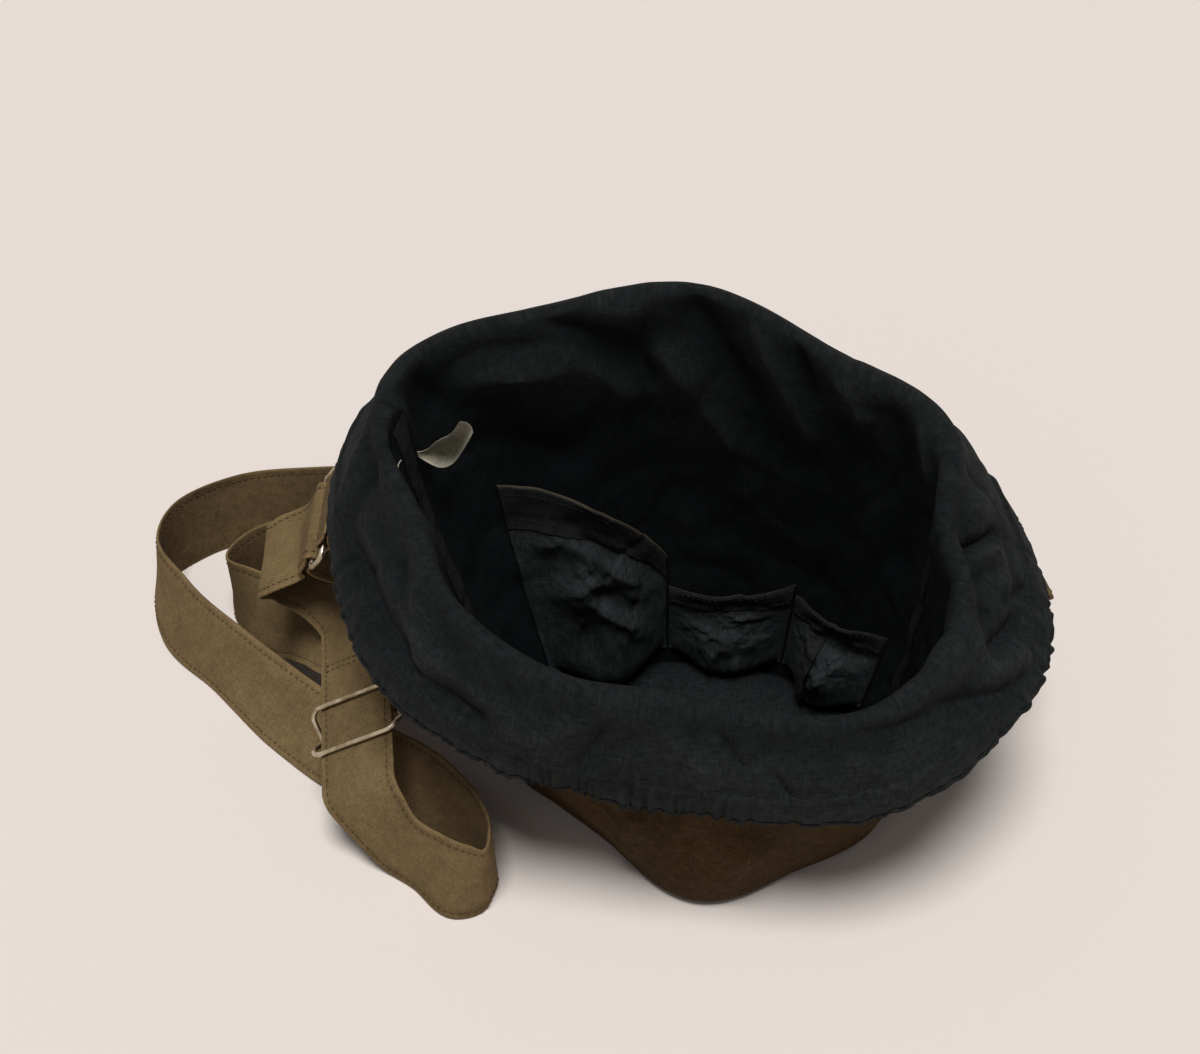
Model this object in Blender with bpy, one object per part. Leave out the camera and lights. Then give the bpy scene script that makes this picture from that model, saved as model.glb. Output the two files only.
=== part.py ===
"""Slouchy canvas bucket bag: turned-out lining cuff, inner pockets, and an adjustable shoulder strap.

The bag is a loft. At every angle round the mouth a profile runs out along the base, up the wall,
over the crest and down the outside as a cuff. Canvas and lining are two layers of that surface.
The strap is a ribbon that follows a hand-laid route through a ring and a three-bar slider.
Sizes are millimetres and are turned into metres where meshes are made.
"""
import math

import bmesh
import bpy
import numpy as np

MM = 0.001

# Cloth thicknesses and clearances
CANVAS_THICKNESS = 1.6
LINING_THICKNESS = 1.0
BINDING_THICKNESS = 1.2
CLEARANCE = 0.4
SEAM_GAP = 0.6

# Mouth crest: an oval, pushed in or out at twelve stations, and its height there
STATION_STEP = 30.0
MOUTH_LENGTH = 232.0
MOUTH_DEPTH = 144.0
MOUTH_CENTRE = (2.0, 8.0)
CREST_SLOUCH = (-14, -2, -9, 4, 19, 38, 4, 2, 3, 0, 13, 6)
CREST_HEIGHT = (150, 178, 196, 213, 199, 182, 152, 140, 128, 119, 116, 127)
CREST_ROLL = 7.0
CREST_FALL = 1.3

# Cuff: how far its hem stands out from the crest and hangs below it
CUFF_REACH = (46, 27, 20, 18, 20, 22, 32, 24, 14, 15, 15, 27)
CUFF_DROP = (45, 42, 40, 38, 40, 42, 40, 43, 46, 45, 39, 34)
CUFF_PUFF = 4.0

# Base: a smaller oval on the floor with a soft front corner
BASE_LENGTH = 184.0
BASE_DEPTH = 136.0
BASE_CENTRE = (2.0, -4.0)
BASE_SLOUCH = (0, 0, 0, 0, 0, 0, -8, -20, -17, 6, 0, 4)
BASE_HEM = 10.0
BASE_HEM_BEND = 0.35
BASE_HEM_LIFT = 0.4
BASE_CORNER_RISE = 9.0
BELLY = 5.0
WALL_KNOTS = (0.33, 0.68)

# Side seams, hem casing and the elastic in it
SEAM_RIGHT = 8.0
SEAM_LEFT = 157.0
PANEL_COLUMNS = 26
SEAM_CROWDING = 0.09
ELASTIC_THICKNESS = 1.4
ELASTIC_START = 10.5
ELASTIC_END = 3.0
CASING_START = 13.5
CASING_RISE = 1.5
HEM_BINDING_WIDTH = 3.0
SEAM_BINDING_WIDTH = 9.0
SEAM_BINDING_FOOT = 24.0

# Inner pockets: first and last angle, height of the top edge up the wall at both, its arch, and gape
POCKET_LEFT = (97.0, 136.0, 76.0, 126.0, 14.0, 22.0)
POCKET_MIDDLE = (60.0, 94.0, 70.0, 58.0, 0.0, 14.0)
POCKET_RIGHT = (24.0, 57.0, 64.0, 64.0, 0.0, 15.0)
POCKET_FOOT = 20.0
POCKET_CLEARANCE = 0.8
POCKET_THICKNESS = 1.0
POCKET_HEM_ROWS = 2
POCKET_ROWS = 7
POCKET_COLUMNS = 13
PEN_LOOP_ANGLES = (44.0, 50.0)
PEN_LOOP_SPAN = (26.0, 52.0)

# Blank woven label in the left lining seam
LABEL_WIDTH = 17.0
LABEL_LENGTH = 24.0
LABEL_THICKNESS = 0.6
LABEL_DEPTH_DOWN = 43.0
LABEL_CURL = 13.0
LABEL_CLEARANCE = 1.6

# Strap, ring and slider
STRAP_WIDTH = 38.0
STRAP_THICKNESS = 2.2
WIRE_RADIUS = 1.5
WIRE_PLAY = 0.5
STRAP_SIDE_PLAY = 2.0
TAB_LENGTH = 11.0
TAB_INSET = 3.0
TAB_ANGLE = 163.0
TAB_SEAT = 1.2
ANCHOR_ANGLE = 14.0
ANCHOR_SEAT = 6.5
ANCHOR_STEM = 14.0
RING_HEIGHT = 15.0
RING_CORNER = 3.0
RING_LEAN = (-0.45, 0.2, -0.85)
RING_STRAP_LEAN = (-0.4, 0.45, -0.8)
RING_STRAP_STEM = 14.0
RING_APPROACH = 8.0
LAP_SHIFT = 3.2
LAP_LEAD = 6.0
LAP_END = 2.0
SLIDER_CENTRE = (-150.0, -9.0, 43.0)
SLIDER_ALONG = (-0.1, 0.97, 0.16)
SLIDER_ACROSS = (0.87, 0.05, 0.49)
SLIDER_LENGTH = 24.0
SLIDER_CORNER = 5.0
SLIDER_APPROACH = 8.0
SLIDER_LEAD = 6.0
SLIDER_RUN_NEAR = 24.0
SLIDER_RUN_FAR = 42.0
BAR_RADIUS = 1.2
END_LOOP_LENGTH = 20.0
SLIDER_TRAVEL = 12.0
RIBBON_STEP = 9.0

CANVAS_BROWN = (0.118, 0.078, 0.040, 1.0)
STRAP_BROWN = (0.112, 0.076, 0.040, 1.0)
LINING_BLACK = (0.012, 0.014, 0.016, 1.0)
BINDING_BLACK = (0.010, 0.012, 0.013, 1.0)
LABEL_CREAM = (0.62, 0.58, 0.50, 1.0)
OLD_BRASS = (0.30, 0.25, 0.17, 1.0)


def clear_scene():
    """Start from an empty scene."""
    for item in list(bpy.data.objects):
        bpy.data.objects.remove(item, do_unlink=True)


def finish_material(name, colour, roughness, metallic):
    """Principled material in one colour."""
    material = bpy.data.materials.new(name)
    material.use_nodes = True
    shader = material.node_tree.nodes["Principled BSDF"]
    shader.inputs["Base Color"].default_value = colour
    shader.inputs["Roughness"].default_value = roughness
    shader.inputs["Metallic"].default_value = metallic
    return material


def add_object(name, points, faces, finish, pivot=None):
    """Make one mesh object from millimetre points, with its origin at the pivot if there is one."""
    origin = np.zeros(3) if pivot is None else np.asarray(pivot, float)
    mesh = bpy.data.meshes.new(name)
    mesh.from_pydata([tuple(p) for p in (np.asarray(points) - origin) * MM], [], faces)
    shape = bmesh.new()
    shape.from_mesh(mesh)
    bmesh.ops.recalc_face_normals(shape, faces=shape.faces)
    shape.to_mesh(mesh)
    shape.free()
    mesh.materials.append(finish_material(name, *finish))
    item = bpy.data.objects.new(name, mesh)
    item.location = tuple(origin * MM)
    bpy.context.collection.objects.link(item)
    return item


def unit(vector):
    """Vectors at length one, along the last axis."""
    vector = np.asarray(vector, float)
    return vector / np.linalg.norm(vector, axis=-1, keepdims=True)


def slab(name, front, back, finish, around=False, pivot=None):
    """Closed sheet between two grids of equal size; quads are cut on one diagonal on both sides."""
    columns, rows = front.shape[:2]
    points = np.concatenate([front.reshape(-1, 3), back.reshape(-1, 3)])
    half = columns * rows
    faces = []

    def quad(a, b, c, d):
        faces.append((a, b, c))
        faces.append((a, c, d))

    spans = columns if around else columns - 1
    for i in range(spans):
        j = (i + 1) % columns
        for r in range(rows - 1):
            a, b = i * rows + r, j * rows + r
            c, d = j * rows + r + 1, i * rows + r + 1
            quad(a, b, c, d)
            faces.append((half + a, half + c, half + b))
            faces.append((half + a, half + d, half + c))
        low_a, low_b = i * rows, j * rows
        quad(low_a, half + low_a, half + low_b, low_b)
        top_a, top_b = i * rows + rows - 1, j * rows + rows - 1
        quad(top_a, top_b, half + top_b, half + top_a)
    if not around:
        for r in range(rows - 1):
            quad(r, r + 1, half + r + 1, half + r)
            last = (columns - 1) * rows + r
            quad(last, half + last, half + last + 1, last + 1)
    return add_object(name, points, faces, finish, pivot)


def ring_value(stations, angles):
    """Smooth closed curve through values at equal steps round the bag."""
    stations = np.asarray(stations, float)
    place = np.asarray(angles, float) / STATION_STEP
    low = np.floor(place).astype(int)
    t = place - low
    count = len(stations)
    a, b, c, d = (stations[(low + k) % count] for k in (-1, 0, 1, 2))
    bend = 2 * a - 5 * b + 4 * c - d
    twist = 3 * b - a - 3 * c + d
    return 0.5 * (2 * b + (c - a) * t + bend * t ** 2 + twist * t ** 3)


def oval(length, depth, centre, slouch, angles):
    """Points of a slouched oval and the outward directions there."""
    turn = np.radians(angles)
    outward = unit(np.stack([np.cos(turn) * depth, np.sin(turn) * length], -1))
    points = np.stack([centre[0] + 0.5 * length * np.cos(turn), centre[1] + 0.5 * depth * np.sin(turn)], -1)
    return points + outward * ring_value(slouch, angles)[:, None], outward


def spatial(flat, height):
    """Plan points at a height."""
    return np.concatenate([flat, np.broadcast_to(np.asarray(height, float), len(flat))[:, None]], -1)


def smooth_path(points, steps):
    """Curve through control points (first axis), each span cut into steps; also the span number of each."""
    ends = np.concatenate([2 * points[:1] - points[1:2], points, 2 * points[-1:] - points[-2:-1]])
    made = []
    for k in range(len(points) - 1):
        a, b, c, d = ends[k:k + 4]
        for t in np.arange(steps) / steps:
            bend = 2 * a - 5 * b + 4 * c - d
            twist = 3 * b - a - 3 * c + d
            made.append(0.5 * (2 * b + (c - a) * t + bend * t ** 2 + twist * t ** 3))
    made.append(points[-1])
    return np.stack(made)


PROFILE_STEPS = 12
CREST_CONTROL = 6


def profile_lines(angles):
    """Dense profile at each angle, from the base edge over the crest to the hem, with lengths along it."""
    angles = np.asarray(angles, float)
    base, base_out = oval(BASE_LENGTH, BASE_DEPTH, BASE_CENTRE, BASE_SLOUCH, angles)
    crest, out = oval(MOUTH_LENGTH, MOUTH_DEPTH, MOUTH_CENTRE, CREST_SLOUCH, angles)
    top = ring_value(CREST_HEIGHT, angles)
    reach = ring_value(CUFF_REACH, angles)[:, None]
    hem = spatial(crest + out * reach, top - ring_value(CUFF_DROP, angles))
    inner_edge = spatial(crest - out * CREST_ROLL, top - CREST_FALL * CREST_ROLL)
    outer_edge = spatial(crest + out * CREST_ROLL, top - CREST_FALL * CREST_ROLL)
    foot = spatial(base, BASE_CORNER_RISE)
    swell = spatial(base_out * BELLY, 0.0)
    control = np.stack([
        spatial(base - base_out * BASE_HEM, CANVAS_THICKNESS / 2),
        spatial(base - base_out * BASE_HEM_BEND * BASE_HEM, CANVAS_THICKNESS / 2 + BASE_HEM_LIFT),
        foot,
        foot + (inner_edge - foot) * WALL_KNOTS[0] + swell,
        foot + (inner_edge - foot) * WALL_KNOTS[1] + swell,
        inner_edge,
        spatial(crest, top),
        outer_edge,
        (outer_edge + hem) / 2 + spatial(out * CUFF_PUFF, 0.0),
        hem,
    ])
    line = smooth_path(control, PROFILE_STEPS).transpose(1, 0, 2)
    steps = np.linalg.norm(np.diff(line, axis=1), axis=2)
    length = np.concatenate([np.zeros((len(angles), 1)), np.cumsum(steps, axis=1)], 1)
    return line, length


def along(line, length, rows):
    """Points of each profile at the given lengths along it."""
    made = np.empty(rows.shape + (3,))
    for i in range(len(line)):
        for axis in range(3):
            made[i, :, axis] = np.interp(rows[i], length[i], line[i, :, axis])
    return made


def cloth_grid(angles, rows_of):
    """Surface grid of the canvas middle and its normals, which point out of the bag and under the cuff."""
    angles = np.asarray(angles, float)
    grids = []
    for shift in (0.0, 0.4, -0.4):
        line, length = profile_lines(angles + shift)
        rows = rows_of(length)
        grids.append(along(line, length, rows))
        if shift == 0.0:
            climb = along(line, length, rows + 0.5) - along(line, length, rows - 0.5)
    normal = unit(np.cross(grids[1] - grids[2], climb))
    return grids[0], normal


def panel_rows(length):
    """Lengths along the profile where the panels have their rows."""
    crest = length[:, CREST_CONTROL * PROFILE_STEPS]
    whole = length[:, -1]
    corner = 1.5 * BASE_HEM
    bend = 1.5 * CREST_ROLL
    rows = [0 * crest, 0 * crest + 0.6 * BASE_HEM, 0 * crest + corner]
    rows += [corner + (crest - bend - corner) * share for share in (0.3, 0.6, 0.85, 1.0)]
    rows += [crest - 0.7 * bend, crest, crest + 0.7 * bend, crest + bend]
    rows += [(crest + bend + whole - CASING_START) / 2]
    rows += [whole - d for d in (CASING_START, CASING_START - CASING_RISE, ELASTIC_START, ELASTIC_END, 0.0)]
    return np.stack(rows, -1)


CASING_ROWS = 4
LINING_INNER = CANVAS_THICKNESS / 2 + CLEARANCE
LINING_OUTER = LINING_INNER + LINING_THICKNESS
CASING_LIFT = ELASTIC_THICKNESS + CLEARANCE


def panel_angles(first, last):
    """Angles of a panel's columns, closer together near its seams and short of them by half the seam gap."""
    spare = math.degrees(0.5 * SEAM_GAP / (0.5 * MOUTH_LENGTH))
    share = np.linspace(0.0, 1.0, PANEL_COLUMNS)
    share = share - SEAM_CROWDING * np.sin(2 * np.pi * share)
    return first + spare + (last - first - 2 * spare) * share


BACK_ANGLES = panel_angles(SEAM_RIGHT, SEAM_LEFT)
FRONT_ANGLES = panel_angles(SEAM_LEFT, SEAM_RIGHT + 360.0)
ALL_ANGLES = np.concatenate([BACK_ANGLES, FRONT_ANGLES])


def make_panels():
    """Canvas outside and lining inside, each a front and a back panel."""
    canvas = (CANVAS_BROWN, 0.85, 0.0)
    lining = (LINING_BLACK, 0.9, 0.0)
    for side, angles in (("front", FRONT_ANGLES), ("back", BACK_ANGLES)):
        middle, normal = cloth_grid(angles, panel_rows)
        half = CANVAS_THICKNESS / 2
        slab("canvas_" + side, middle + normal * half, middle - normal * half, canvas)
        lift = np.zeros(middle.shape[1])
        lift[-CASING_ROWS:] = CASING_LIFT
        near = normal * (LINING_INNER + lift)[None, :, None]
        far = normal * (LINING_OUTER + lift)[None, :, None]
        slab("lining_" + side, middle - near, middle - far, lining)


def make_hem():
    """Elastic between the layers at the hem, and the binding that closes the casing."""
    middle, normal = cloth_grid(ALL_ANGLES, panel_rows)
    rows = slice(-3, -1)
    near = middle[:, rows] - normal[:, rows] * LINING_INNER
    far = middle[:, rows] - normal[:, rows] * (LINING_INNER + ELASTIC_THICKNESS)
    slab("hem_elastic", near, far, ((0.02, 0.02, 0.02, 1.0), 0.8, 0.0), around=True)
    edge = middle[:, -1]
    down = unit(middle[:, -1] - middle[:, -2])
    across = normal[:, -1]
    start = edge + down * CLEARANCE
    end = edge + down * (CLEARANCE + HEM_BINDING_WIDTH)
    inside = np.stack([start, end], 1) + across[:, None] * CANVAS_THICKNESS / 2
    outside = np.stack([start, end], 1) - across[:, None] * (LINING_OUTER + CASING_LIFT)
    slab("hem_binding", inside, outside, (BINDING_BLACK, 0.85, 0.0), around=True)


def base_disc(name, low, thickness, finish):
    """Flat base panel inside the wall's turned-in edge."""
    flat, out = oval(BASE_LENGTH, BASE_DEPTH, BASE_CENTRE, BASE_SLOUCH, ALL_ANGLES)
    rim = flat - out * (BASE_HEM + SEAM_GAP)
    count = len(rim)
    points = np.concatenate([spatial(rim, low), spatial(rim, low + thickness)])
    faces = [tuple(range(count))[::-1], tuple(range(count, 2 * count))]
    for i in range(count):
        j = (i + 1) % count
        faces.append((i, j, count + j, count + i))
    add_object(name, points, faces, finish)


def make_base():
    """Canvas base on the floor and the lining base over it."""
    base_disc("canvas_base", 0.0, CANVAS_THICKNESS, (CANVAS_BROWN, 0.85, 0.0))
    base_disc("lining_base", CANVAS_THICKNESS + CLEARANCE, LINING_THICKNESS, (LINING_BLACK, 0.9, 0.0))


def make_seam_bindings():
    """Bound side seams inside the lining, from the crest down to the base corner."""
    for name, angle in (("lining_seam_left", SEAM_LEFT), ("lining_seam_right", SEAM_RIGHT)):
        spread = math.degrees(0.5 * SEAM_BINDING_WIDTH / (0.5 * MOUTH_LENGTH))
        angles = angle + np.linspace(-spread, spread, 5)

        def rows_of(length):
            crest = length[:, CREST_CONTROL * PROFILE_STEPS]
            top = crest - 1.5 * CREST_ROLL
            return SEAM_BINDING_FOOT + (top - SEAM_BINDING_FOOT)[:, None] * np.linspace(0, 1, 9)

        middle, normal = cloth_grid(angles, rows_of)
        low = LINING_OUTER + POCKET_CLEARANCE
        near = middle - normal * low
        far = middle - normal * (low + BINDING_THICKNESS)
        slab(name, near, far, (BINDING_BLACK, 0.85, 0.0))


def pocket_bulge(climb):
    """Share of its gape that a pocket stands off the wall, from its foot to its top edge."""
    return climb ** 1.4 * (1 - 0.12 * climb)


def make_pocket(side, first, last, first_height, last_height, arch, gape):
    """Patch pocket on the lining: shut at sides and foot, gaping at its top, with a hem band in front."""
    angles = np.linspace(first, last, POCKET_COLUMNS)
    share = (angles - first) / (last - first)

    height = first_height + (last_height - first_height) * share + arch * np.sin(np.pi * share)
    climb = np.linspace(0.0, 1.0, POCKET_ROWS)

    def rows_of(length):
        return POCKET_FOOT + (height - POCKET_FOOT)[:, None] * climb

    middle, normal = cloth_grid(angles, rows_of)
    swell = np.sin(np.pi * share)[:, None] * gape * pocket_bulge(climb)[None, :]
    low = LINING_OUTER + POCKET_CLEARANCE + swell
    near = middle - normal * low[..., None]
    far = middle - normal * (low + POCKET_THICKNESS)[..., None]
    slab("pocket_" + side, near, far, (LINING_BLACK, 0.9, 0.0))
    band = slice(-POCKET_HEM_ROWS, None)
    face = low[:, band] + POCKET_THICKNESS + CLEARANCE
    near = middle[:, band] - normal[:, band] * face[..., None]
    far = middle[:, band] - normal[:, band] * (face + BINDING_THICKNESS)[..., None]
    slab("pocket_hem_" + side, near, far, (BINDING_BLACK, 0.85, 0.0))


def make_pen_loop():
    """Narrow loop sewn to the front of the right pocket."""
    first, last, first_height, last_height, arch, gape = POCKET_RIGHT
    angles = np.linspace(*PEN_LOOP_ANGLES, 3)
    share = (angles - first) / (last - first)
    height = first_height + (last_height - first_height) * share + arch * np.sin(np.pi * share)
    rows = np.linspace(*PEN_LOOP_SPAN, 5)

    def rows_of(length):
        return np.broadcast_to(rows, (len(length), len(rows)))

    middle, normal = cloth_grid(angles, rows_of)
    climb = (rows[None, :] - POCKET_FOOT) / (height - POCKET_FOOT)[:, None]
    swell = np.sin(np.pi * share)[:, None] * gape * pocket_bulge(climb)
    low = LINING_OUTER + 2 * POCKET_CLEARANCE + POCKET_THICKNESS + swell
    near = middle - normal * low[..., None]
    far = middle - normal * (low + BINDING_THICKNESS)[..., None]
    slab("pocket_pen_loop", near, far, (BINDING_BLACK, 0.85, 0.0))


def make_label():
    """Blank woven label in the left lining seam, curled up softly; its origin is its sewn edge."""

    def rows_of(length):
        crest = length[:, CREST_CONTROL * PROFILE_STEPS]
        return (crest - LABEL_DEPTH_DOWN)[:, None] + np.array([[0.0, LABEL_WIDTH]])

    spread = math.degrees(0.5 * SEAM_BINDING_WIDTH / (0.5 * MOUTH_LENGTH))
    middle, normal = cloth_grid(np.array([SEAM_LEFT - 1.3 * spread, SEAM_LEFT]), rows_of)
    low = LINING_OUTER + LABEL_CLEARANCE
    foot = middle[0] - normal[0] * low
    edge = unit(foot[1] - foot[0])
    inward = -unit(normal[0].mean(0))
    reach = np.linspace(0.0, 1.0, 7)
    lift = np.array([0.0, 0.25, 1.0])
    spine = inward * (reach * LABEL_LENGTH)[:, None] + lift * (LABEL_CURL * reach ** 2)[:, None]
    grid = spine[:, None] + foot[None]
    face = unit(np.cross(edge, inward))
    half = face * LABEL_THICKNESS / 2
    slab("label", grid - half, grid + half, (LABEL_CREAM, 0.8, 0.0), pivot=foot.mean(0))


def ribbon_frames(stations, step, first, last):
    """Resample a strap route: centre points, directions along, across and out of the face; the end
    directions are given, so that the ends lie square to what they meet."""
    stations = np.asarray(stations, float)
    dense = smooth_path(stations, 16)
    lengths = np.concatenate([[0.0], np.cumsum(np.linalg.norm(np.diff(dense[:, :3], axis=0), axis=1))])
    count = max(3, int(round(lengths[-1] / step)) + 1)
    places = np.linspace(0.0, lengths[-1], count)
    even = np.stack([np.interp(places, lengths, dense[:, k]) for k in range(6)], -1)
    centre = even[:, :3]
    forward = unit(np.gradient(centre, axis=0))
    forward[0], forward[-1] = first, last
    across = even[:, 3:] - forward * np.sum(even[:, 3:] * forward, -1, keepdims=True)
    across = unit(across)
    return centre, forward, across, np.cross(forward, across)


def ribbon(name, frames, first=0, last=None, width=STRAP_WIDTH, pivot=None):
    """Flat strap over part of a route's frames, half a clearance short at both ends; returns its length."""
    centre, forward, across, face = (part[first:last] for part in frames)
    centre = centre.copy()
    centre[0] += forward[0] * CLEARANCE / 2
    centre[-1] -= forward[-1] * CLEARANCE / 2
    places = np.linspace(-0.5, 0.5, 3)[None, :, None] * width
    grid = centre[:, None] + across[:, None] * places
    half = face[:, None] * STRAP_THICKNESS / 2
    slab(name, grid - half, grid + half, (STRAP_BROWN, 0.85, 0.0), pivot=pivot)
    return np.linalg.norm(np.diff(centre, axis=0), axis=1).sum()


def tube_loop(name, path, radius, finish, sides=8, pivot=None):
    """Closed wire loop swept along a path of points."""
    count = len(path)
    forward = unit(np.roll(path, -1, 0) - np.roll(path, 1, 0))
    centre = path.mean(0)
    side = path - centre
    side = unit(side - forward * np.sum(side * forward, -1, keepdims=True))
    up = np.cross(forward, side)
    turn = np.linspace(0.0, 2 * np.pi, sides, endpoint=False)
    circle = side[:, None] * np.cos(turn)[None, :, None] + up[:, None] * np.sin(turn)[None, :, None]
    points = (path[:, None] + circle * radius).reshape(-1, 3)
    faces = []
    for i in range(count):
        j = (i + 1) % count
        for k in range(sides):
            n = (k + 1) % sides
            faces.append((i * sides + k, i * sides + n, j * sides + n, j * sides + k))
    return add_object(name, points, faces, finish, pivot)


def rounded_loop(centre, across, along_side, width, length, corner, dip=None, depth=0.0):
    """Wire path of a rounded rectangle; its short sides may dip along a direction at mid-length."""
    made = []
    for sx, sy, start in ((1, 1, 0), (-1, 1, 90), (-1, -1, 180), (1, -1, 270)):
        for turn in np.radians(np.linspace(start, start + 90, 5)):
            x = sx * (width / 2 - corner) + corner * math.cos(turn)
            y = sy * (length / 2 - corner) + corner * math.sin(turn)
            made.append((x, y))
        if sx == sy:
            continue
        if sy == 1:
            made += [(-width / 2, length * s) for s in (0.18, 0.07, -0.07, -0.18)]
        else:
            made += [(width / 2, length * s) for s in (-0.18, -0.07, 0.07, 0.18)]
    made = np.array(made)
    path = centre + across * made[:, :1] + along_side * made[:, 1:]
    if dip is not None:
        sink = depth * np.exp(-(made[:, 1:] / (0.26 * length)) ** 2)
        path = path + dip * sink * (np.abs(made[:, :1]) > 0.45 * width)
    return path


def hem_place(angle):
    """Point, downward direction and tangent of the hem at one angle, just below its binding."""
    middle, normal = cloth_grid(np.array([angle - 1.0, angle, angle + 1.0]), panel_rows)
    down = unit(middle[1, -1] - middle[1, -2])
    centre_line = middle[1, -1] - normal[1, -1] * (LINING_OUTER + CASING_LIFT - CANVAS_THICKNESS / 2) / 2
    tangent = unit(middle[2, -1] - middle[0, -1])
    return centre_line + down * (HEM_BINDING_WIDTH + 2 * CLEARANCE), down, tangent


def wrap_path(eye, stem_end, radius, spread, turns=9):
    """Hairpin round a wire: down one side of a stem, round the eye and back up the other side."""
    axis = unit(stem_end - eye)
    reach = np.linalg.norm(stem_end - eye)
    flat = [(-spread, reach), (-spread, reach * 0.5 + radius * 0.5)]
    for turn in np.linspace(150, 390, turns):
        flat.append((radius * math.cos(math.radians(turn)), radius * math.sin(math.radians(turn))))
    flat += [(spread, reach * 0.5 + radius * 0.5), (spread, reach)]
    return axis, np.array(flat)


def wrap(name, eye, stem_end, tangent, radius, width, thickness, finish, pivot=None):
    """Folded strip round a wire whose axis is the tangent; the two legs lie side by side."""
    axis, flat = wrap_path(eye, stem_end, radius, 0.5 * (thickness + CLEARANCE))
    side = unit(np.cross(tangent, axis))
    path = smooth_path(flat, 2)
    forward = unit(np.gradient(path, axis=0))
    left = np.stack([-forward[:, 1], forward[:, 0]], -1) * thickness / 2
    grids = []
    for offset in (left, -left):
        points = eye + side * (path + offset)[:, :1] + axis * (path + offset)[:, 1:]
        grids.append(np.stack([points - tangent * width / 2, points + tangent * width / 2], 1))
    slab(name, grids[0], grids[1], finish, pivot=pivot)


def strap_places():
    """Where the tab, the ring and the right anchor sit under the hem."""
    hem, down, tangent = hem_place(TAB_ANGLE)
    hem = hem + down * TAB_SEAT
    eye = hem + down * TAB_LENGTH
    lean = np.asarray(RING_LEAN, float)
    lean = unit(lean - tangent * np.dot(lean, tangent))
    lower = eye + lean * RING_HEIGHT
    return hem, eye, lower, tangent, lean


def slider_axes():
    """Slider centre and its directions along the strap, across it and out of its face."""
    forward = unit(SLIDER_ALONG)
    across = np.asarray(SLIDER_ACROSS, float)
    across = unit(across - forward * np.dot(across, forward))
    return np.asarray(SLIDER_CENTRE, float), forward, across, np.cross(across, forward)


def stations(*rows):
    """Route stations with unit across directions."""
    made = np.asarray(rows, float)
    made[:, 3:] = unit(made[:, 3:])
    return made


def nearest_frame(frames, point):
    """Number of the frame that is closest to a route station."""
    return int(np.argmin(np.linalg.norm(frames[0] - np.asarray(point)[:3], axis=1)))


def make_strap():
    """Tab, ring, strap runs, slider and the sewn end loop."""
    strap_finish = (STRAP_BROWN, 0.85, 0.0)
    wire_finish = (OLD_BRASS, 0.35, 1.0)
    hem, eye, lower, tangent, lean = strap_places()
    tab_radius = WIRE_RADIUS + WIRE_PLAY + CANVAS_THICKNESS / 2
    wrap("strap_tab", eye, hem, tangent, tab_radius, STRAP_WIDTH - TAB_INSET, CANVAS_THICKNESS, strap_finish)
    ring_width = STRAP_WIDTH + 2 * STRAP_SIDE_PLAY + 2 * WIRE_RADIUS
    ring_path = rounded_loop((eye + lower) / 2, tangent, -lean, ring_width, RING_HEIGHT, RING_CORNER)
    tube_loop("strap_ring", ring_path, WIRE_RADIUS, wire_finish, pivot=eye)

    centre, forward, across, face = slider_axes()
    near_end = centre - forward * SLIDER_RUN_NEAR
    far_end = centre + forward * SLIDER_RUN_FAR
    run = np.stack([np.concatenate([near_end, across]), np.concatenate([far_end, across])])
    ribbon("strap_slider_run", ribbon_frames(run, SLIDER_RUN_FAR, forward, forward))

    frame_lift = STRAP_THICKNESS / 2 + CLEARANCE + WIRE_RADIUS
    bar_drop = 1.5 * STRAP_THICKNESS + CLEARANCE + WIRE_PLAY + BAR_RADIUS
    slider_width = STRAP_WIDTH + 2 * STRAP_SIDE_PLAY + 2 * WIRE_RADIUS
    frame_path = rounded_loop(centre + face * frame_lift, across, forward, slider_width, SLIDER_LENGTH,
                              SLIDER_CORNER, dip=-face, depth=frame_lift + bar_drop)
    tube_loop("slider_frame", frame_path, WIRE_RADIUS, wire_finish, pivot=centre)
    bar_half = slider_width / 2 - WIRE_RADIUS - CLEARANCE
    bar_middle = centre - face * bar_drop
    turn = np.linspace(0.0, 2 * np.pi, 10, endpoint=False)
    circle = forward * np.cos(turn)[:, None] + face * np.sin(turn)[:, None]
    rim = circle * BAR_RADIUS
    points = np.concatenate([bar_middle - across * bar_half + rim, bar_middle + across * bar_half + rim])
    faces = [tuple(range(10)), tuple(range(10, 20))[::-1]]
    faces += [(k, 10 + k, 10 + (k + 1) % 10, (k + 1) % 10) for k in range(10)]
    add_object("slider_bar", points, faces, wire_finish, pivot=centre)
    loop_radius = BAR_RADIUS + WIRE_PLAY + STRAP_THICKNESS / 2
    loop_end = bar_middle + forward * END_LOOP_LENGTH - face * 0.4 * loop_radius
    wrap("strap_end_loop", bar_middle, loop_end, across, loop_radius, STRAP_WIDTH, STRAP_THICKNESS,
         strap_finish, pivot=centre)
    make_runs(near_end, far_end, across, lower, tangent, loop_end, forward)


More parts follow.
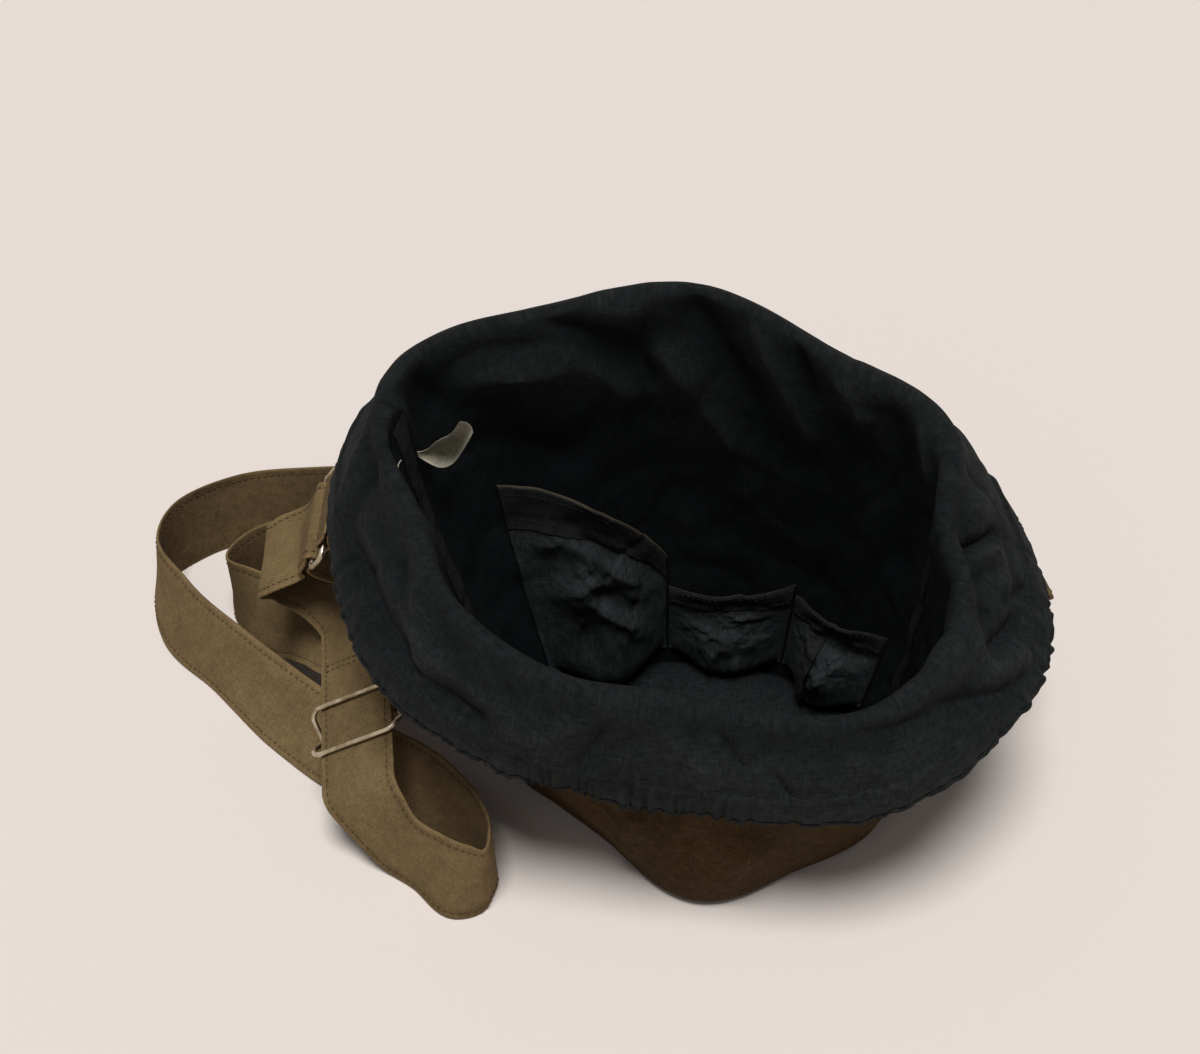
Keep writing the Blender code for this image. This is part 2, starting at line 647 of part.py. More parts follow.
def make_runs(near_end, far_end, across, lower, tangent, loop_end, forward):
    """The long route from the right anchor to the slider, and the two strands between slider and ring."""
    anchor, down, anchor_tangent = hem_place(ANCHOR_ANGLE)
    anchor = anchor + down * ANCHOR_SEAT
    long_route = stations(
        (*anchor, *anchor_tangent),
        (*(anchor + down * ANCHOR_STEM), *anchor_tangent),
        (158, 62, 72, -0.45, 0.6, 0.66),
        (146, 98, 42, -0.5, 0.2, 0.85),
        (112, 128, 24, -0.2, 0.0, 0.98),
        (52, 146, 21, 0.0, 0.15, 0.98),
        (-24, 154, 20, 0.0, 0.25, 0.96),
        (-100, 158, 20, 0.0, 0.33, 0.94),
        (-150, 160, 20, 0.0, 0.35, 0.94),
        (-192, 160, 20, 0.0, 0.35, 0.94),
        (-230, 154, 20, -0.05, 0.4, 0.92),
        (-257, 136, 20, -0.1, 0.25, 0.96),
        (-266, 112, 20, 0.15, 0.1, 0.98),
        (-252, 82, 19, 0.42, 0.3, 0.86),
        (-220, 49, 18, 0.45, 0.33, 0.83),
        (-188, 20, 13, 0.55, 0.5, 0.64),
        (-160, -1, 10.5, 0.6, 0.6, 0.5),
        (-130, -20, 15, 0.5, 0.5, 0.7),
        (-109, -36, 19, 0.25, 0.3, 0.92),
        (-93, -53, 20, 0.0, 0.2, 0.98),
        (-87, -66, 20, -0.05, 0.1, 0.98),
        (-90, -76, 20, 0.1, 0.2, 0.97),
        (-101, -77, 20, 0.2, 0.4, 0.9),
        (-118, -66, 21, 0.34, 0.12, 0.93),
        (-136, -53, 28, 0.7, -0.05, 0.7),
        (*(near_end - forward * SLIDER_APPROACH), *across),
        (*near_end, *across),
    )
    frames = ribbon_frames(long_route, RIBBON_STEP, down, forward)
    total = SLIDER_RUN_NEAR + SLIDER_RUN_FAR
    ends = [nearest_frame(frames, long_route[k]) for k in (0, 8, 12, 19, 26)]
    names = ("strap_back_run", "strap_back_loop", "strap_main_band", "strap_front_band")
    for name, first, last in zip(names, ends, ends[1:]):
        total += ribbon(name, frames, first, last + 1)

    stem = unit(RING_STRAP_LEAN - tangent * np.dot(RING_STRAP_LEAN, tangent))
    radius = WIRE_RADIUS + WIRE_PLAY + STRAP_THICKNESS / 2
    wrap_end = lower + stem * RING_STRAP_STEM
    wrap("strap_ring_loop", lower, wrap_end, tangent, radius, STRAP_WIDTH, STRAP_THICKNESS,
         (STRAP_BROWN, 0.85, 0.0))
    outer = unit(np.cross(tangent, stem))
    outer = outer * math.copysign(0.5 * (STRAP_THICKNESS + CLEARANCE), -outer[0])
    outer_leg = wrap_end + outer + stem * CLEARANCE
    lapped = wrap_end - LAP_SHIFT * outer
    ring_route = stations(
        (*far_end, *across),
        (*(far_end + forward * SLIDER_LEAD), *across),
        (*(far_end + forward * 2 * SLIDER_LEAD), *across),
        (-164, 60, 52, 0.7, 0.55, 0.4),
        (-177, 70, 53, 0.4, 0.85, 0.3),
        (-192, 73, 57, 0.1, 0.95, 0.25),
        (-199, 70, 65, 0.0, 0.97, 0.2),
        (-194, 65, 73, 0.0, 0.95, 0.3),
        (*(outer_leg + stem * RING_APPROACH), *-tangent),
        (*outer_leg, *-tangent),
    )
    total += ribbon("strap_ring_run", ribbon_frames(ring_route, RIBBON_STEP, forward, -stem))
    start = loop_end + forward * (SLIDER_TRAVEL + 1.0)
    return_route = stations(
        (*start, *across),
        (-168, 50, 33, 0.75, 0.4, 0.5),
        (-188, 68, 24, 0.6, 0.4, 0.7),
        (-212, 84, 20, 0.35, 0.3, 0.9),
        (-226, 98, 20, 0.0, 0.1, 1.0),
        (-216, 114, 20, -0.1, 0.2, 0.97),
        (-194, 123, 22, 0.0, 0.4, 0.92),
        (-170, 121, 34, 0.0, 0.6, 0.8),
        (-150, 112, 52, 0.2, 0.8, 0.6),
        (-143, 97, 66, 0.1, 0.95, 0.3),
        (-150, 82, 73, 0.0, 0.95, 0.3),
        (-162, 71, 74, 0.0, 0.95, 0.3),
        (*(lapped + stem * LAP_LEAD), *-tangent),
        (*(lapped - stem * LAP_END), *-tangent),
    )
    total += ribbon("strap_return_run", ribbon_frames(return_route, RIBBON_STEP, forward, -stem))
    print("strap length in mm, without the folds:", round(total))


clear_scene()
make_panels()
make_base()
make_hem()
make_seam_bindings()
make_pocket("left", *POCKET_LEFT)
make_pocket("middle", *POCKET_MIDDLE)
make_pocket("right", *POCKET_RIGHT)
make_pen_loop()
make_label()
make_strap()
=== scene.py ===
# %% [markdown]
# # A slouchy bucket bag, sewn in numpy
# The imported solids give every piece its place. This lesson loads them as a fixed frame, then lays real
# cloth over them: a black cotton lining that is turned out over a canvas bag as a cuff, pockets inside it,
# and a long canvas strap that goes through a slider and a ring. Every surface is a grid of points that is
# worked out as whole arrays, so a shape can be changed by changing one formula.

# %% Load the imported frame
import math

import bpy
import numpy as np
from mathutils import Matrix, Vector


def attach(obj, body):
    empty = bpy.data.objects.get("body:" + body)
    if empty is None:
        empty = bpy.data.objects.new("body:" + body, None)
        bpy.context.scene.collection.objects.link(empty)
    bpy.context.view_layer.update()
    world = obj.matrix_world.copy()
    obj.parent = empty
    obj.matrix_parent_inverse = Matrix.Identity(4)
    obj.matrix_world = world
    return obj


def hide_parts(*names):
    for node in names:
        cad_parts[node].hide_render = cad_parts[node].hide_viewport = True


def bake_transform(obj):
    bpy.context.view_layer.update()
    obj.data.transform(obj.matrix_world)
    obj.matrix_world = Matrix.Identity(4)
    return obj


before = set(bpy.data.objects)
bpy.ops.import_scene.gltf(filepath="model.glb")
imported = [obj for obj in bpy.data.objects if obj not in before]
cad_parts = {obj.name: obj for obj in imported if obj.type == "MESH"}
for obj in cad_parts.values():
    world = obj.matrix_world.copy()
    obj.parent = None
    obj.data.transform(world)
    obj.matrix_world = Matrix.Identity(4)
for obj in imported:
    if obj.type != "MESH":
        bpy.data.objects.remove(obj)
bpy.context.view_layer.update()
MM = 0.001

# %% [markdown]
# ## Camera
# The picture was taken from in front and half-way up, so the camera stands 0.76 m from the bag at 45
# degrees. A 50 mm lens keeps the perspective mild. The camera is made first, so that each later piece
# can be compared with the photograph as soon as it exists.

# %% Camera at the photograph's angle
AIM = Vector((-0.040, 0.058, 0.100))
DISTANCE = 0.760
ELEVATION = math.radians(45.0)
camera_data = bpy.data.cameras.new("photo_camera")
camera_data.lens = 50.0
camera_data.sensor_width = 36.0
camera_data.sensor_fit = "HORIZONTAL"
camera = bpy.data.objects.new("photo_camera", camera_data)
camera.location = AIM + Vector((0.0, -math.cos(ELEVATION), math.sin(ELEVATION))) * DISTANCE
camera.rotation_euler = (AIM - camera.location).to_track_quat("-Z", "Y").to_euler()
bpy.context.collection.objects.link(camera)
bpy.context.scene.camera = camera
bpy.context.scene.view_settings.view_transform = "Standard"
print("camera at", [round(x, 4) for x in camera.location])

# %% [markdown]
# ## Floor
# The bag lies on a plain beige surface. A modelled room could be put round it, but a wide flat floor is
# enough to catch its shadow. It is part of the stage and not of the bag, so it is named as such.

# %% Floor
FLOOR_BEIGE = (0.79, 0.715, 0.665, 1.0)
FLOOR_LEVEL = -0.4 * MM


def flat_floor(half):
    """A square of four corners, half metres to each side, just under the bag."""
    mesh = bpy.data.meshes.new("floor")
    corners = [(x * half, y * half, FLOOR_LEVEL) for x, y in ((-1, -1), (1, -1), (1, 1), (-1, 1))]
    mesh.from_pydata(corners, [], [(0, 1, 2, 3)])
    item = bpy.data.objects.new("floor", mesh)
    bpy.context.collection.objects.link(item)
    paint = bpy.data.materials.new("floor_paint")
    paint.use_nodes = True
    shader = paint.node_tree.nodes["Principled BSDF"]
    for key, value in (("Base Color", FLOOR_BEIGE), ("Roughness", 0.95), ("Specular IOR Level", 0.1)):
        shader.inputs[key].default_value = value
    mesh.materials.append(paint)
    return item


flat_floor(4.0)
print("floor laid at", round(FLOOR_LEVEL / MM, 1), "mm")

# %% [markdown]
# ## Lamps and sky
# The light is soft and comes from above. A sun of wide spread keeps the floor even to its far edge, where a
# lamp would fall off. A large lamp fills from the front, and an even world from all sides, at a level at
# which a colour renders about as it is written. Where the world is seen directly, or mirrored in the wire,
# it has the floor's colour.

# %% Lamps and world
def soft_lamp(name, kind, place, size, power):
    """A lamp turned to the bag: an area of a size in metres and a power in watts, or a sun of a spread in
    degrees and a strength."""
    data = bpy.data.lights.new(name, kind)
    if kind == "SUN":
        data.angle = math.radians(size)
    else:
        data.size = size
    data.energy = power
    lamp = bpy.data.objects.new(name, data)
    lamp.location = place
    lamp.rotation_euler = (AIM - Vector(place)).to_track_quat("-Z", "Y").to_euler()
    bpy.context.collection.objects.link(lamp)
    return lamp


def add_node(tree, kind, inputs, **settings):
    """One shader node with its settings; each of its inputs is a socket to link or a value to set."""
    node = tree.nodes.new("ShaderNode" + kind)
    for key, value in settings.items():
        setattr(node, key, value)
    for key, value in inputs.items():
        if isinstance(value, bpy.types.NodeSocket):
            tree.links.new(value, node.inputs[key])
        else:
            node.inputs[key].default_value = value
    return node


def pale_world(strength):
    """An even white sky of a strength, which looks like the floor where it is seen or mirrored."""
    world = bpy.data.worlds.new("studio")
    world.use_nodes = True
    tree = world.node_tree
    sky = tree.nodes["Background"]
    sky.inputs["Color"].default_value = (1.0, 0.985, 0.965, 1.0)
    sky.inputs["Strength"].default_value = strength
    seen = add_node(tree, "Background", {"Color": FLOOR_BEIGE})
    path = add_node(tree, "LightPath", {})
    direct = path.outputs["Is Camera Ray"]
    for kind in ("Is Glossy Ray", "Is Transmission Ray"):
        direct = add_node(tree, "Math", {0: direct, 1: path.outputs[kind]}, operation="MAXIMUM").outputs[0]
    choice = add_node(tree, "MixShader", {0: direct, 1: sky.outputs[0], 2: seen.outputs[0]})
    tree.links.new(choice.outputs[0], tree.nodes["World Output"].inputs["Surface"])
    bpy.context.scene.world = world


soft_lamp("skylight", "SUN", (-0.10, -0.22, 2.40), 26.0, 2.7)
soft_lamp("bounce", "AREA", (-0.75, -1.05, 1.20), 1.2, 1.0)
pale_world(0.14)
print("a soft sun, a soft lamp and an even sky")

# %% [markdown]
# ## The shape of the bag
# Round the mouth, at every angle, one profile runs out along the base, up the wall, over the crest and down
# outside as the cuff. Ten control points carry it, and each of them goes smoothly round the bag through
# twelve stations. A sculpted mesh would be freer, but here canvas, lining, pockets and hem can all ask
# the same formula where the cloth is, so they never cross. The numbers repeat the part's own.

# %% Stations of the mouth, the cuff and the base
CREST_SLOUCH = (-14, -2, -9, 4, 19, 38, 4, 2, 3, 0, 13, 6)
CREST_HEIGHT = (150, 178, 196, 213, 199, 182, 152, 140, 128, 119, 116, 127)
CUFF_REACH = (46, 27, 20, 18, 20, 22, 32, 24, 14, 15, 15, 27)
CUFF_DROP = (45, 42, 40, 38, 40, 42, 40, 43, 46, 45, 39, 34)
BASE_SLOUCH = (0, 0, 0, 0, 0, 0, -8, -20, -17, 6, 0, 4)
MOUTH_SIZE, MOUTH_CENTRE = (232.0, 144.0), (2.0, 8.0)
BASE_SIZE, BASE_CENTRE = (184.0, 136.0), (2.0, -4.0)
LIP_ROLL, CUFF_PUFF, BASE_HEM, BELLY = 4.2, 3.0, 10.0, 5.0
SEAM_RIGHT, SEAM_LEFT = 8.0, 157.0
FOOT_HEIGHT = 9.0
WALL_RADIUS = 116.0
DEGREE = 1.83 * MM
CREST, HEM = 6.0, 9.0
STEP_ROUND, STEP_UP = 0.4, 0.03


def unit(vector):
    """Vectors at length one, along the last axis."""
    return vector / np.linalg.norm(vector, axis=-1, keepdims=True)


def square_to(vector, direction):
    """Vectors without their part along a direction, at length one."""
    vector = np.asarray(vector, float)
    return unit(vector - direction * np.sum(vector * direction, -1, keepdims=True))


def per_angle(values, angles):
    """Values spread out to one row for each angle."""
    return np.broadcast_to(values, (len(angles), np.shape(values)[-1]))


def through_four(a, b, c, d, t):
    """Cubic from b to c over t from 0 to 1, with slopes of half the way between the neighbours of each."""
    square, cube = 2 * a - 5 * b + 4 * c - d, 3 * b - a - 3 * c + d
    return 0.5 * (2 * b + (c - a) * t + square * t ** 2 + cube * t ** 3)


def round_the_bag(stations, angles):
    """A closed curve through twelve values, 30 degrees apart, with four neighbours weighed at each angle."""
    stations = np.asarray(stations, float)
    place = np.asarray(angles, float) / 30.0
    low = np.floor(place).astype(int)
    return through_four(*(stations[(low + k) % 12] for k in (-1, 0, 1, 2)), place - low)


def oval(size, centre, slouch, angles):
    """Points of an oval moved out along its own normal by the slouch, and those normals, in plan."""
    turn = np.radians(angles)
    normal = unit(np.stack([np.cos(turn) * size[1], np.sin(turn) * size[0]], -1))
    ring = np.stack([np.cos(turn) * size[0], np.sin(turn) * size[1]], -1) / 2 + np.asarray(centre)
    return ring + normal * round_the_bag(slouch, angles)[:, None], normal


def lifted(flat, height):
    """Plan points at a height."""
    return np.concatenate([flat, np.broadcast_to(height, len(flat))[:, None]], -1)


mouth, _ = oval(MOUTH_SIZE, MOUTH_CENTRE, CREST_SLOUCH, np.arange(0.0, 360.0, 2.0))
print("crest of the mouth in mm:", np.round(mouth.max(0) - mouth.min(0)))

# %% [markdown]
# ## One profile at each angle
# The real wall is cut and sewn flat, and takes its curve from the way it slumps. Here ten knots give that
# curve at every angle, and a cubic joins them. A bevelled Blender curve could do this too, but a formula
# can be asked for any point, so each later piece finds the cloth it lies on.

# %% Profile of the wall
def profile_knots(angles):
    """The ten control points at each angle: base edge, foot, wall, crest, cuff and hem, in metres."""
    base, base_out = oval(BASE_SIZE, BASE_CENTRE, BASE_SLOUCH, angles)
    crest, out = oval(MOUTH_SIZE, MOUTH_CENTRE, CREST_SLOUCH, angles)
    top = round_the_bag(CREST_HEIGHT, angles)
    drop = round_the_bag(CUFF_DROP, angles)
    hem = lifted(crest + out * round_the_bag(CUFF_REACH, angles)[:, None], top - drop)
    inner = lifted(crest - out * LIP_ROLL, top - 1.3 * LIP_ROLL)
    outer = lifted(crest + out * LIP_ROLL, top - 1.3 * LIP_ROLL)
    foot = lifted(base, FOOT_HEIGHT)
    swell = lifted(base_out * BELLY, 0.0)
    knots = [lifted(base - base_out * BASE_HEM, 0.8), lifted(base - base_out * 0.35 * BASE_HEM, 1.2), foot,
             foot + (inner - foot) * 0.33 + swell, foot + (inner - foot) * 0.68 + swell, inner,
             lifted(crest, top), outer, (outer + hem) / 2 + lifted(out * CUFF_PUFF, 0.0), hem]
    return np.stack(knots) * MM


def smooth_wall(angles, time):
    """Points where a curve through the knots of each angle has the given times, from 0 at the base edge
    to 6 at the crest and 9 at the hem: a cubic of the four knots about each time."""
    knots = profile_knots(angles)
    knots = np.concatenate([2 * knots[:1] - knots[1:2], knots, 2 * knots[-1:] - knots[-2:-1]])
    time = per_angle(time, angles)
    span = np.clip(np.floor(time), 0, HEM - 1).astype(int)
    column = np.arange(len(angles))[:, None]
    return through_four(*(knots[span + k, column] for k in range(4)), (time - span)[..., None])


front_lip = smooth_wall(np.array([270.0]), [CREST])[0, 0]
print("front of the crest in mm:", np.round(front_lip / MM, 1))

# %% [markdown]
# ## Lengths and directions on the cloth
# A tailor measures along the cloth, not through the air. A table of summed chords turns a length along a
# profile into a place on it and back, so hems, pockets and seams can be given in millimetres. Directions
# square to the cloth come from short steps both ways, which is simpler than working out the formula's own
# slopes.

# %% Lengths along the profiles, and normals
ROWS_PER_KNOT = 12
TIMES = np.linspace(0.0, HEM, int(HEM) * ROWS_PER_KNOT + 1)
CREST_ROW = int(CREST) * ROWS_PER_KNOT


def wall_lengths(angles):
    """Length along each profile at the table's times, summed over its chords."""
    line = smooth_wall(angles, TIMES)
    steps = np.linalg.norm(np.diff(line, axis=1), axis=2)
    return np.concatenate([np.zeros((len(angles), 1)), np.cumsum(steps, axis=1)], 1)


def look_up(x, table_x, table_y):
    """Straight-line look-up in one table per row, all rows at once: each row is shifted by ten of its own."""
    shift = 10.0 * np.arange(len(table_x))[:, None]
    found = np.interp((x + shift).ravel(), (table_x + shift).ravel(), table_y.ravel())
    return found.reshape(x.shape)


def time_of_length(angles, lengths):
    """Times at which the profiles have the given lengths from the base edge, in metres."""
    table = wall_lengths(angles)
    return look_up(per_angle(lengths, angles), table, per_angle(TIMES, angles))


def crest_length(angles):
    """Length of each profile from the base edge to the crest, as a column."""
    return wall_lengths(angles)[:, CREST_ROW:CREST_ROW + 1]


def past_crest(angles, time):
    """Length past the crest, below zero inside the bag, and length still to go to the hem, in metres."""
    table = wall_lengths(angles)
    length = look_up(np.clip(per_angle(time, angles), 0, HEM), per_angle(TIMES, angles), table)
    return length - table[:, CREST_ROW:CREST_ROW + 1], table[:, -1:] - length


def wall_normals(angles, time):
    """Directions square to the cloth, out of the wall and in under the cuff: a short step round the bag
    crossed with a short step up."""
    time = per_angle(time, angles)
    around = smooth_wall(angles + STEP_ROUND, time) - smooth_wall(angles - STEP_ROUND, time)
    climb = smooth_wall(angles, time + STEP_UP) - smooth_wall(angles, time - STEP_UP)
    return unit(np.cross(around, climb))


sample = wall_lengths(np.arange(0.0, 360.0, 30.0))
print("profile lengths in mm:", np.round(sample[:, -1] / MM).astype(int))

# %% [markdown]
# ## Long creases
# Soft cotton never lies as smooth as the loft. Long creases are drawn as strokes over the cloth: a ridge of
# a height and a width between two places, fading at its ends. A cloth simulation could find folds of its own,
# but not these ones, so they are laid where the photograph shows them, and all layers share them.

# %% Strokes
STROKES = np.array([
    # angle, mm past the crest; the same at the other end; half width mm, height mm (below 0 is inwards)
    (120, -5, 106, -22, 4, 6), (106, -22, 98, -48, 5, 7), (138, -24, 112, -30, 9, -7),
    (112, -32, 103, -58, 8, -5), (112, -4, 101, -12, 8, -4), (98, -30, 89, -56, 8, -8),
    (89, -56, 78, -84, 9, -5), (91, -3, 85, -24, 6, 8), (85, -24, 74, -50, 6, 9),
    (74, -50, 65, -76, 8, 5), (78, -8, 70, -30, 7, -5), (70, -30, 60, -52, 8, -5),
    (68, -5, 62, -28, 3.5, 6), (58, -8, 48, -24, 6, -5), (54, -30, 44, -52, 6, 4),
    (136, -54, 116, -84, 12, 6), (42, -10, 31, -42, 9, 4), (34, -6, 22, -22, 7, -4),
    (26, 2, 10, 1, 5, -4), (16, -14, 3, -46, 6, 4), (353, 4, 358, 13, 3.2, 10),
    (358, 12, 9, 34, 3.2, 10), (354, 6, 2, 30, 6, -6), (8, 10, 18, 36, 9, -5),
    (357, 27, 347, 7, 2.6, 3.5), (359, 50, 347, 24, 3, 5), (347, 24, 337, 4, 3.5, 4),
    (349, 38, 334, 15, 4, 8), (353, 40, 342, 12, 4, -4), (343, 40, 330, 20, 6, -5.5),
    (296, 2, 318, 11, 4, 4), (318, 11, 342, 46, 5, 6), (322, -2, 334, 14, 9, -4),
    (168, 40, 162, 12, 3.5, -4.5), (162, 12, 154, -12, 3.5, -5), (154, -12, 151, -46, 3.5, -4),
    (172, 34, 167, 8, 4, 3.5), (167, 8, 160, -16, 4, 4), (156, 34, 152, 10, 5, 3),
    (148, -8, 143, -34, 6, 4), (178, -12, 188, -60, 9, -4), (168, -20, 173, -70, 8, 4),
    (196, -8, 208, -50, 9, 4), (184, 4, 204, 30, 5, 2.2), (196, 4, 214, 34, 6, -2.2),
    (214, 8, 228, 36, 5, 2), (228, 6, 240, 30, 4, 1.8), (236, 30, 247, 12, 4, -2),
    (250, 30, 258, 10, 4, 1.8), (262, 8, 270, 30, 4, -1.8), (273, 9, 278, 24, 1.8, 3),
    (283, 22, 286, 34, 1.8, 2.5), (251, 12, 246, 36, 2, 2.6), (240, 12, 240, 26, 2, 2.4),
    (176, 23, 200, 20, 4, -3), (200, 20, 226, 22, 4, -3), (176, 32, 200, 29, 4, 4.5),
    (200, 29, 228, 31, 4, 4.5), (296, 14, 306, 30, 4, -1.8), (262, -122, 270, -70, 6, -5),
    (276, -126, 283, -70, 7, 5), (250, -110, 256, -60, 7, 5), (60, 10, 68, 34, 6, 2),
    (100, 8, 108, 34, 6, -2), (140, 8, 148, 36, 6, 2),
], float)


def smooth_step(x, low, high):
    """0 below low, 1 above high, and an even S between them."""
    f = np.clip((x - low) / (high - low), 0.0, 1.0)
    return f * f * (3 - 2 * f)


def degrees_from(angles, middle):
    """Angles as they lie from a middle one, from -180 to 180."""
    return (angles - middle + 180.0) % 360.0 - 180.0


def stroke_field(angles, past):
    """Sum of the strokes: each is its height times a peak about its line and a fade at its ends."""
    total = np.zeros(past.shape)
    for a0, q0, a1, q1, width, height in STROKES:
        x = degrees_from(angles, a0)[:, None] * DEGREE / MM + 0 * past
        y = past / MM - q0
        line = np.array([degrees_from(a1, a0) * DEGREE / MM, q1 - q0])
        size = np.hypot(*line)
        run = (x * line[0] + y * line[1]) / size
        off = (x * line[1] - y * line[0]) / size
        fade = smooth_step(run, -0.25 * size, 0.2 * size) * (1 - smooth_step(run, 0.7 * size, 1.15 * size))
        total += height * fade * np.exp(0.25 - np.sqrt((off / (0.75 * width)) ** 2 + 0.0625))
    return total * MM


print("strokes drawn:", len(STROKES))

# %% [markdown]
# ## Gathers
# The elastic is shorter than the hem, so the cuff is pushed up into close, uneven waves. Each of them could
# be sculpted, but waves whose pitch wanders by seeded noise look as uneven and can still be changed. They
# fade out within a few centimetres of the hem, as the real ones do.

# %% Seeded noise, and gathers at the hem
GATHER_HEIGHT, PLEAT_HEIGHT = 0.95 * MM, 4.2


def seeded_noise(x, y, cells, seed):
    """Smooth noise from -1 to 1: seeded numbers on a lattice that closes after a number of cells in x,
    joined by smooth steps. x is from 0 to 1 round the bag, and y is in cells."""
    values = np.random.default_rng(seed).uniform(-1.0, 1.0, (64, cells))
    x, y = np.broadcast_arrays(np.asarray(x, float) * cells, y)
    i, j = np.floor(x).astype(int), np.floor(y).astype(int)
    f, g = x - i, y - j
    f, g = f * f * (3 - 2 * f), g * g * (3 - 2 * g)
    row = (j % 64, (j + 1) % 64)
    col = (i % cells, (i + 1) % cells)
    low = values[row[0], col[0]] * (1 - f) + values[row[0], col[1]] * f
    high = values[row[1], col[0]] * (1 - f) + values[row[1], col[1]] * f
    return low * (1 - g) + high * g


def gather_field(angles, to_hem):
    """Close gathers at the hem: waves of uneven pitch round the bag that fade out up the cuff, deeper at the
    right, calm at the front right, and drawn into pleats at the front."""
    turn, share = np.radians(angles), angles / 360.0
    wander = 2.2 * seeded_noise(share, 3.0, 40, 5) + 1.1 * seeded_noise(share, 9.0, 90, 6)
    wave = np.sin(turn * 62 + 3.0 * wander) + 0.6 * np.sin(turn * 107 + 4.0 * wander)
    strength = 0.75 + 0.5 * seeded_noise(share, 5.0, 16, 7)
    right = np.exp(-(((angles + 180) % 360 - 180 - 2) / 17) ** 2)
    calm = 1 - 0.62 * np.exp(-((angles % 360 - 322) / 20) ** 2)
    front = np.exp(-((angles % 360 - 258) / 30) ** 2)
    pleat = np.abs(np.sin(turn * 19 + 5.0 * wander)) ** 0.5 - 0.7
    depth = np.exp(-(to_hem / ((15 + 16 * right)[:, None] * MM)) ** 1.6)
    gathers = wave * strength * (1 + 0.5 * right - 0.35 * front) + PLEAT_HEIGHT * front * pleat
    return (gathers * calm)[:, None] * depth * GATHER_HEIGHT


hem_waves = gather_field(np.arange(0.0, 360.0, 0.25), np.zeros((1440, 1)))
print("gathers from", round(hem_waves.min() / MM, 1), "to", round(hem_waves.max() / MM, 1), "mm")

# %% [markdown]
# ## The creased cloth
# All folds are added up in one field, which says how far the cloth stands off its smooth shape; seeded noise
# adds the small crumple. By the base, the strap and the crest the folds are held back, because there the real
# cloth is sewn or drawn taut. One function gives a point of the creased cloth at any depth, and every layer
# is made with it.

# %% Fold field and cloth
CRUMPLE = (
    # height mm, pitch mm, start, cells round the bag, seed
    (1.9, 26, 20, 24, 1), (0.9, 13, 20, 48, 2), (0.3, 6, 30, 104, 3))
LINE_HEIGHT, LINE_WIDTH = 1.2, 0.3
STRAP_PLACES = ((163, 11), (14, 9))


def fold_field(angles, time):
    """How far the cloth stands out from its smooth shape, in metres: strokes, crumple, sharp lines where a
    noise is near zero, and gathers. It lies flat at the base and by the strap, and is taut over the crest."""
    past, to_hem = past_crest(angles, time)
    turn = angles[:, None] / 360.0
    crumple = sum(height * seeded_noise(turn, past / (pitch * MM) + start, cells, seed)
                  for height, pitch, start, cells, seed in CRUMPLE)
    line = np.abs(seeded_noise(turn + 0.5 * past, past / (24 * MM) + 40, 30, 8))
    crumple = crumple + LINE_HEIGHT * np.clip(1 - line / LINE_WIDTH, 0, 1)
    free = smooth_step(np.broadcast_to(time, past.shape), 1.9, 3.0)
    held = sum(np.exp(-(degrees_from(angles, middle) / width) ** 2) for middle, width in STRAP_PLACES)
    still = 1 - 0.75 * np.clip(held, 0, 1)[:, None] * smooth_step(past, 12 * MM, 30 * MM)
    taut = 1 - 0.75 * np.exp(-(past / (7 * MM)) ** 2)
    folds = (stroke_field(angles, past) + crumple * MM) * taut + gather_field(angles, to_hem)
    return folds * free * still


def cloth(angles, time, depth=0.0):
    """Points of the creased cloth, a depth below its middle on the lining's side."""
    time = per_angle(time, angles)
    lift = fold_field(angles, time) - depth
    return smooth_wall(angles, time) + wall_normals(angles, time) * lift[..., None]


probe = fold_field(np.arange(0.0, 360.0, 2.0), np.linspace(2.0, 9.0, 40))
print("folds from", round(probe.min() / MM, 1), "to", round(probe.max() / MM, 1), "mm")

# %% [markdown]
# ## From points to objects
# Each piece is one mesh object at the origin. Its UV map is in metres, so a weave has its true thread count
# on every piece, and an attribute gives each point its wear and its painted light or shade. Faces are put
# together by index arithmetic, which is quick for whole grids, and a closed mesh with a negative volume is
# turned round.

# %% Object makers
SHARP_ANGLE = math.radians(55)


def add_object(name, points, faces, uv, wear_and_painted_light, material):
    """One object at the origin from points and lists of faces, with a UV and a value of wear and painted
    light for each point.
    """
    mesh = bpy.data.meshes.new(name)
    mesh.from_pydata(points.tolist(), [], faces)
    corners = np.empty(len(mesh.loops), np.int32)
    mesh.loops.foreach_get("vertex_index", corners)
    layer = mesh.uv_layers.new(name="cloth")
    layer.data.foreach_set("uv", np.ascontiguousarray(uv[corners], np.float32).ravel())
    # the attribute holds real wear, and light and shade painted into the colour
    wear = mesh.attributes.new("wear_and_painted_light", "FLOAT", "POINT")
    wear.data.foreach_set("value", np.ascontiguousarray(wear_and_painted_light, np.float32).ravel())
    mesh.shade_smooth()
    mesh.materials.append(material)
    item = bpy.data.objects.new(name, mesh)
    bpy.context.collection.objects.link(item)
    return item


def add_piece(name, points, quads, uv, wear_and_painted_light, material):
    """One object from points and faces of four, turned outwards, and smooth but for its sharp edges."""
    a, b, c, d = (points[quads[:, k]] for k in range(4))
    volume = np.sum(a * np.cross(b, c)) + np.sum(a * np.cross(c, d))
    if volume < 0:
        quads = quads[:, ::-1]
    item = add_object(name, points, quads.tolist(), uv, wear_and_painted_light, material)
    item.data.set_sharp_from_angle(angle=SHARP_ANGLE)
    return item


def strip_quads(columns, rows, around_columns=False, around_rows=False):
    """Faces of a grid numbered column by column, closed round its columns or rows where asked."""
    i, r = np.meshgrid(np.arange(columns if around_columns else columns - 1),
                       np.arange(rows if around_rows else rows - 1), indexing="ij")
    i, r = i.ravel(), r.ravel()
    j, s = (i + 1) % columns, (r + 1) % rows
    return np.stack([i * rows + r, j * rows + r, j * rows + s, i * rows + s], -1)


print("object makers ready")

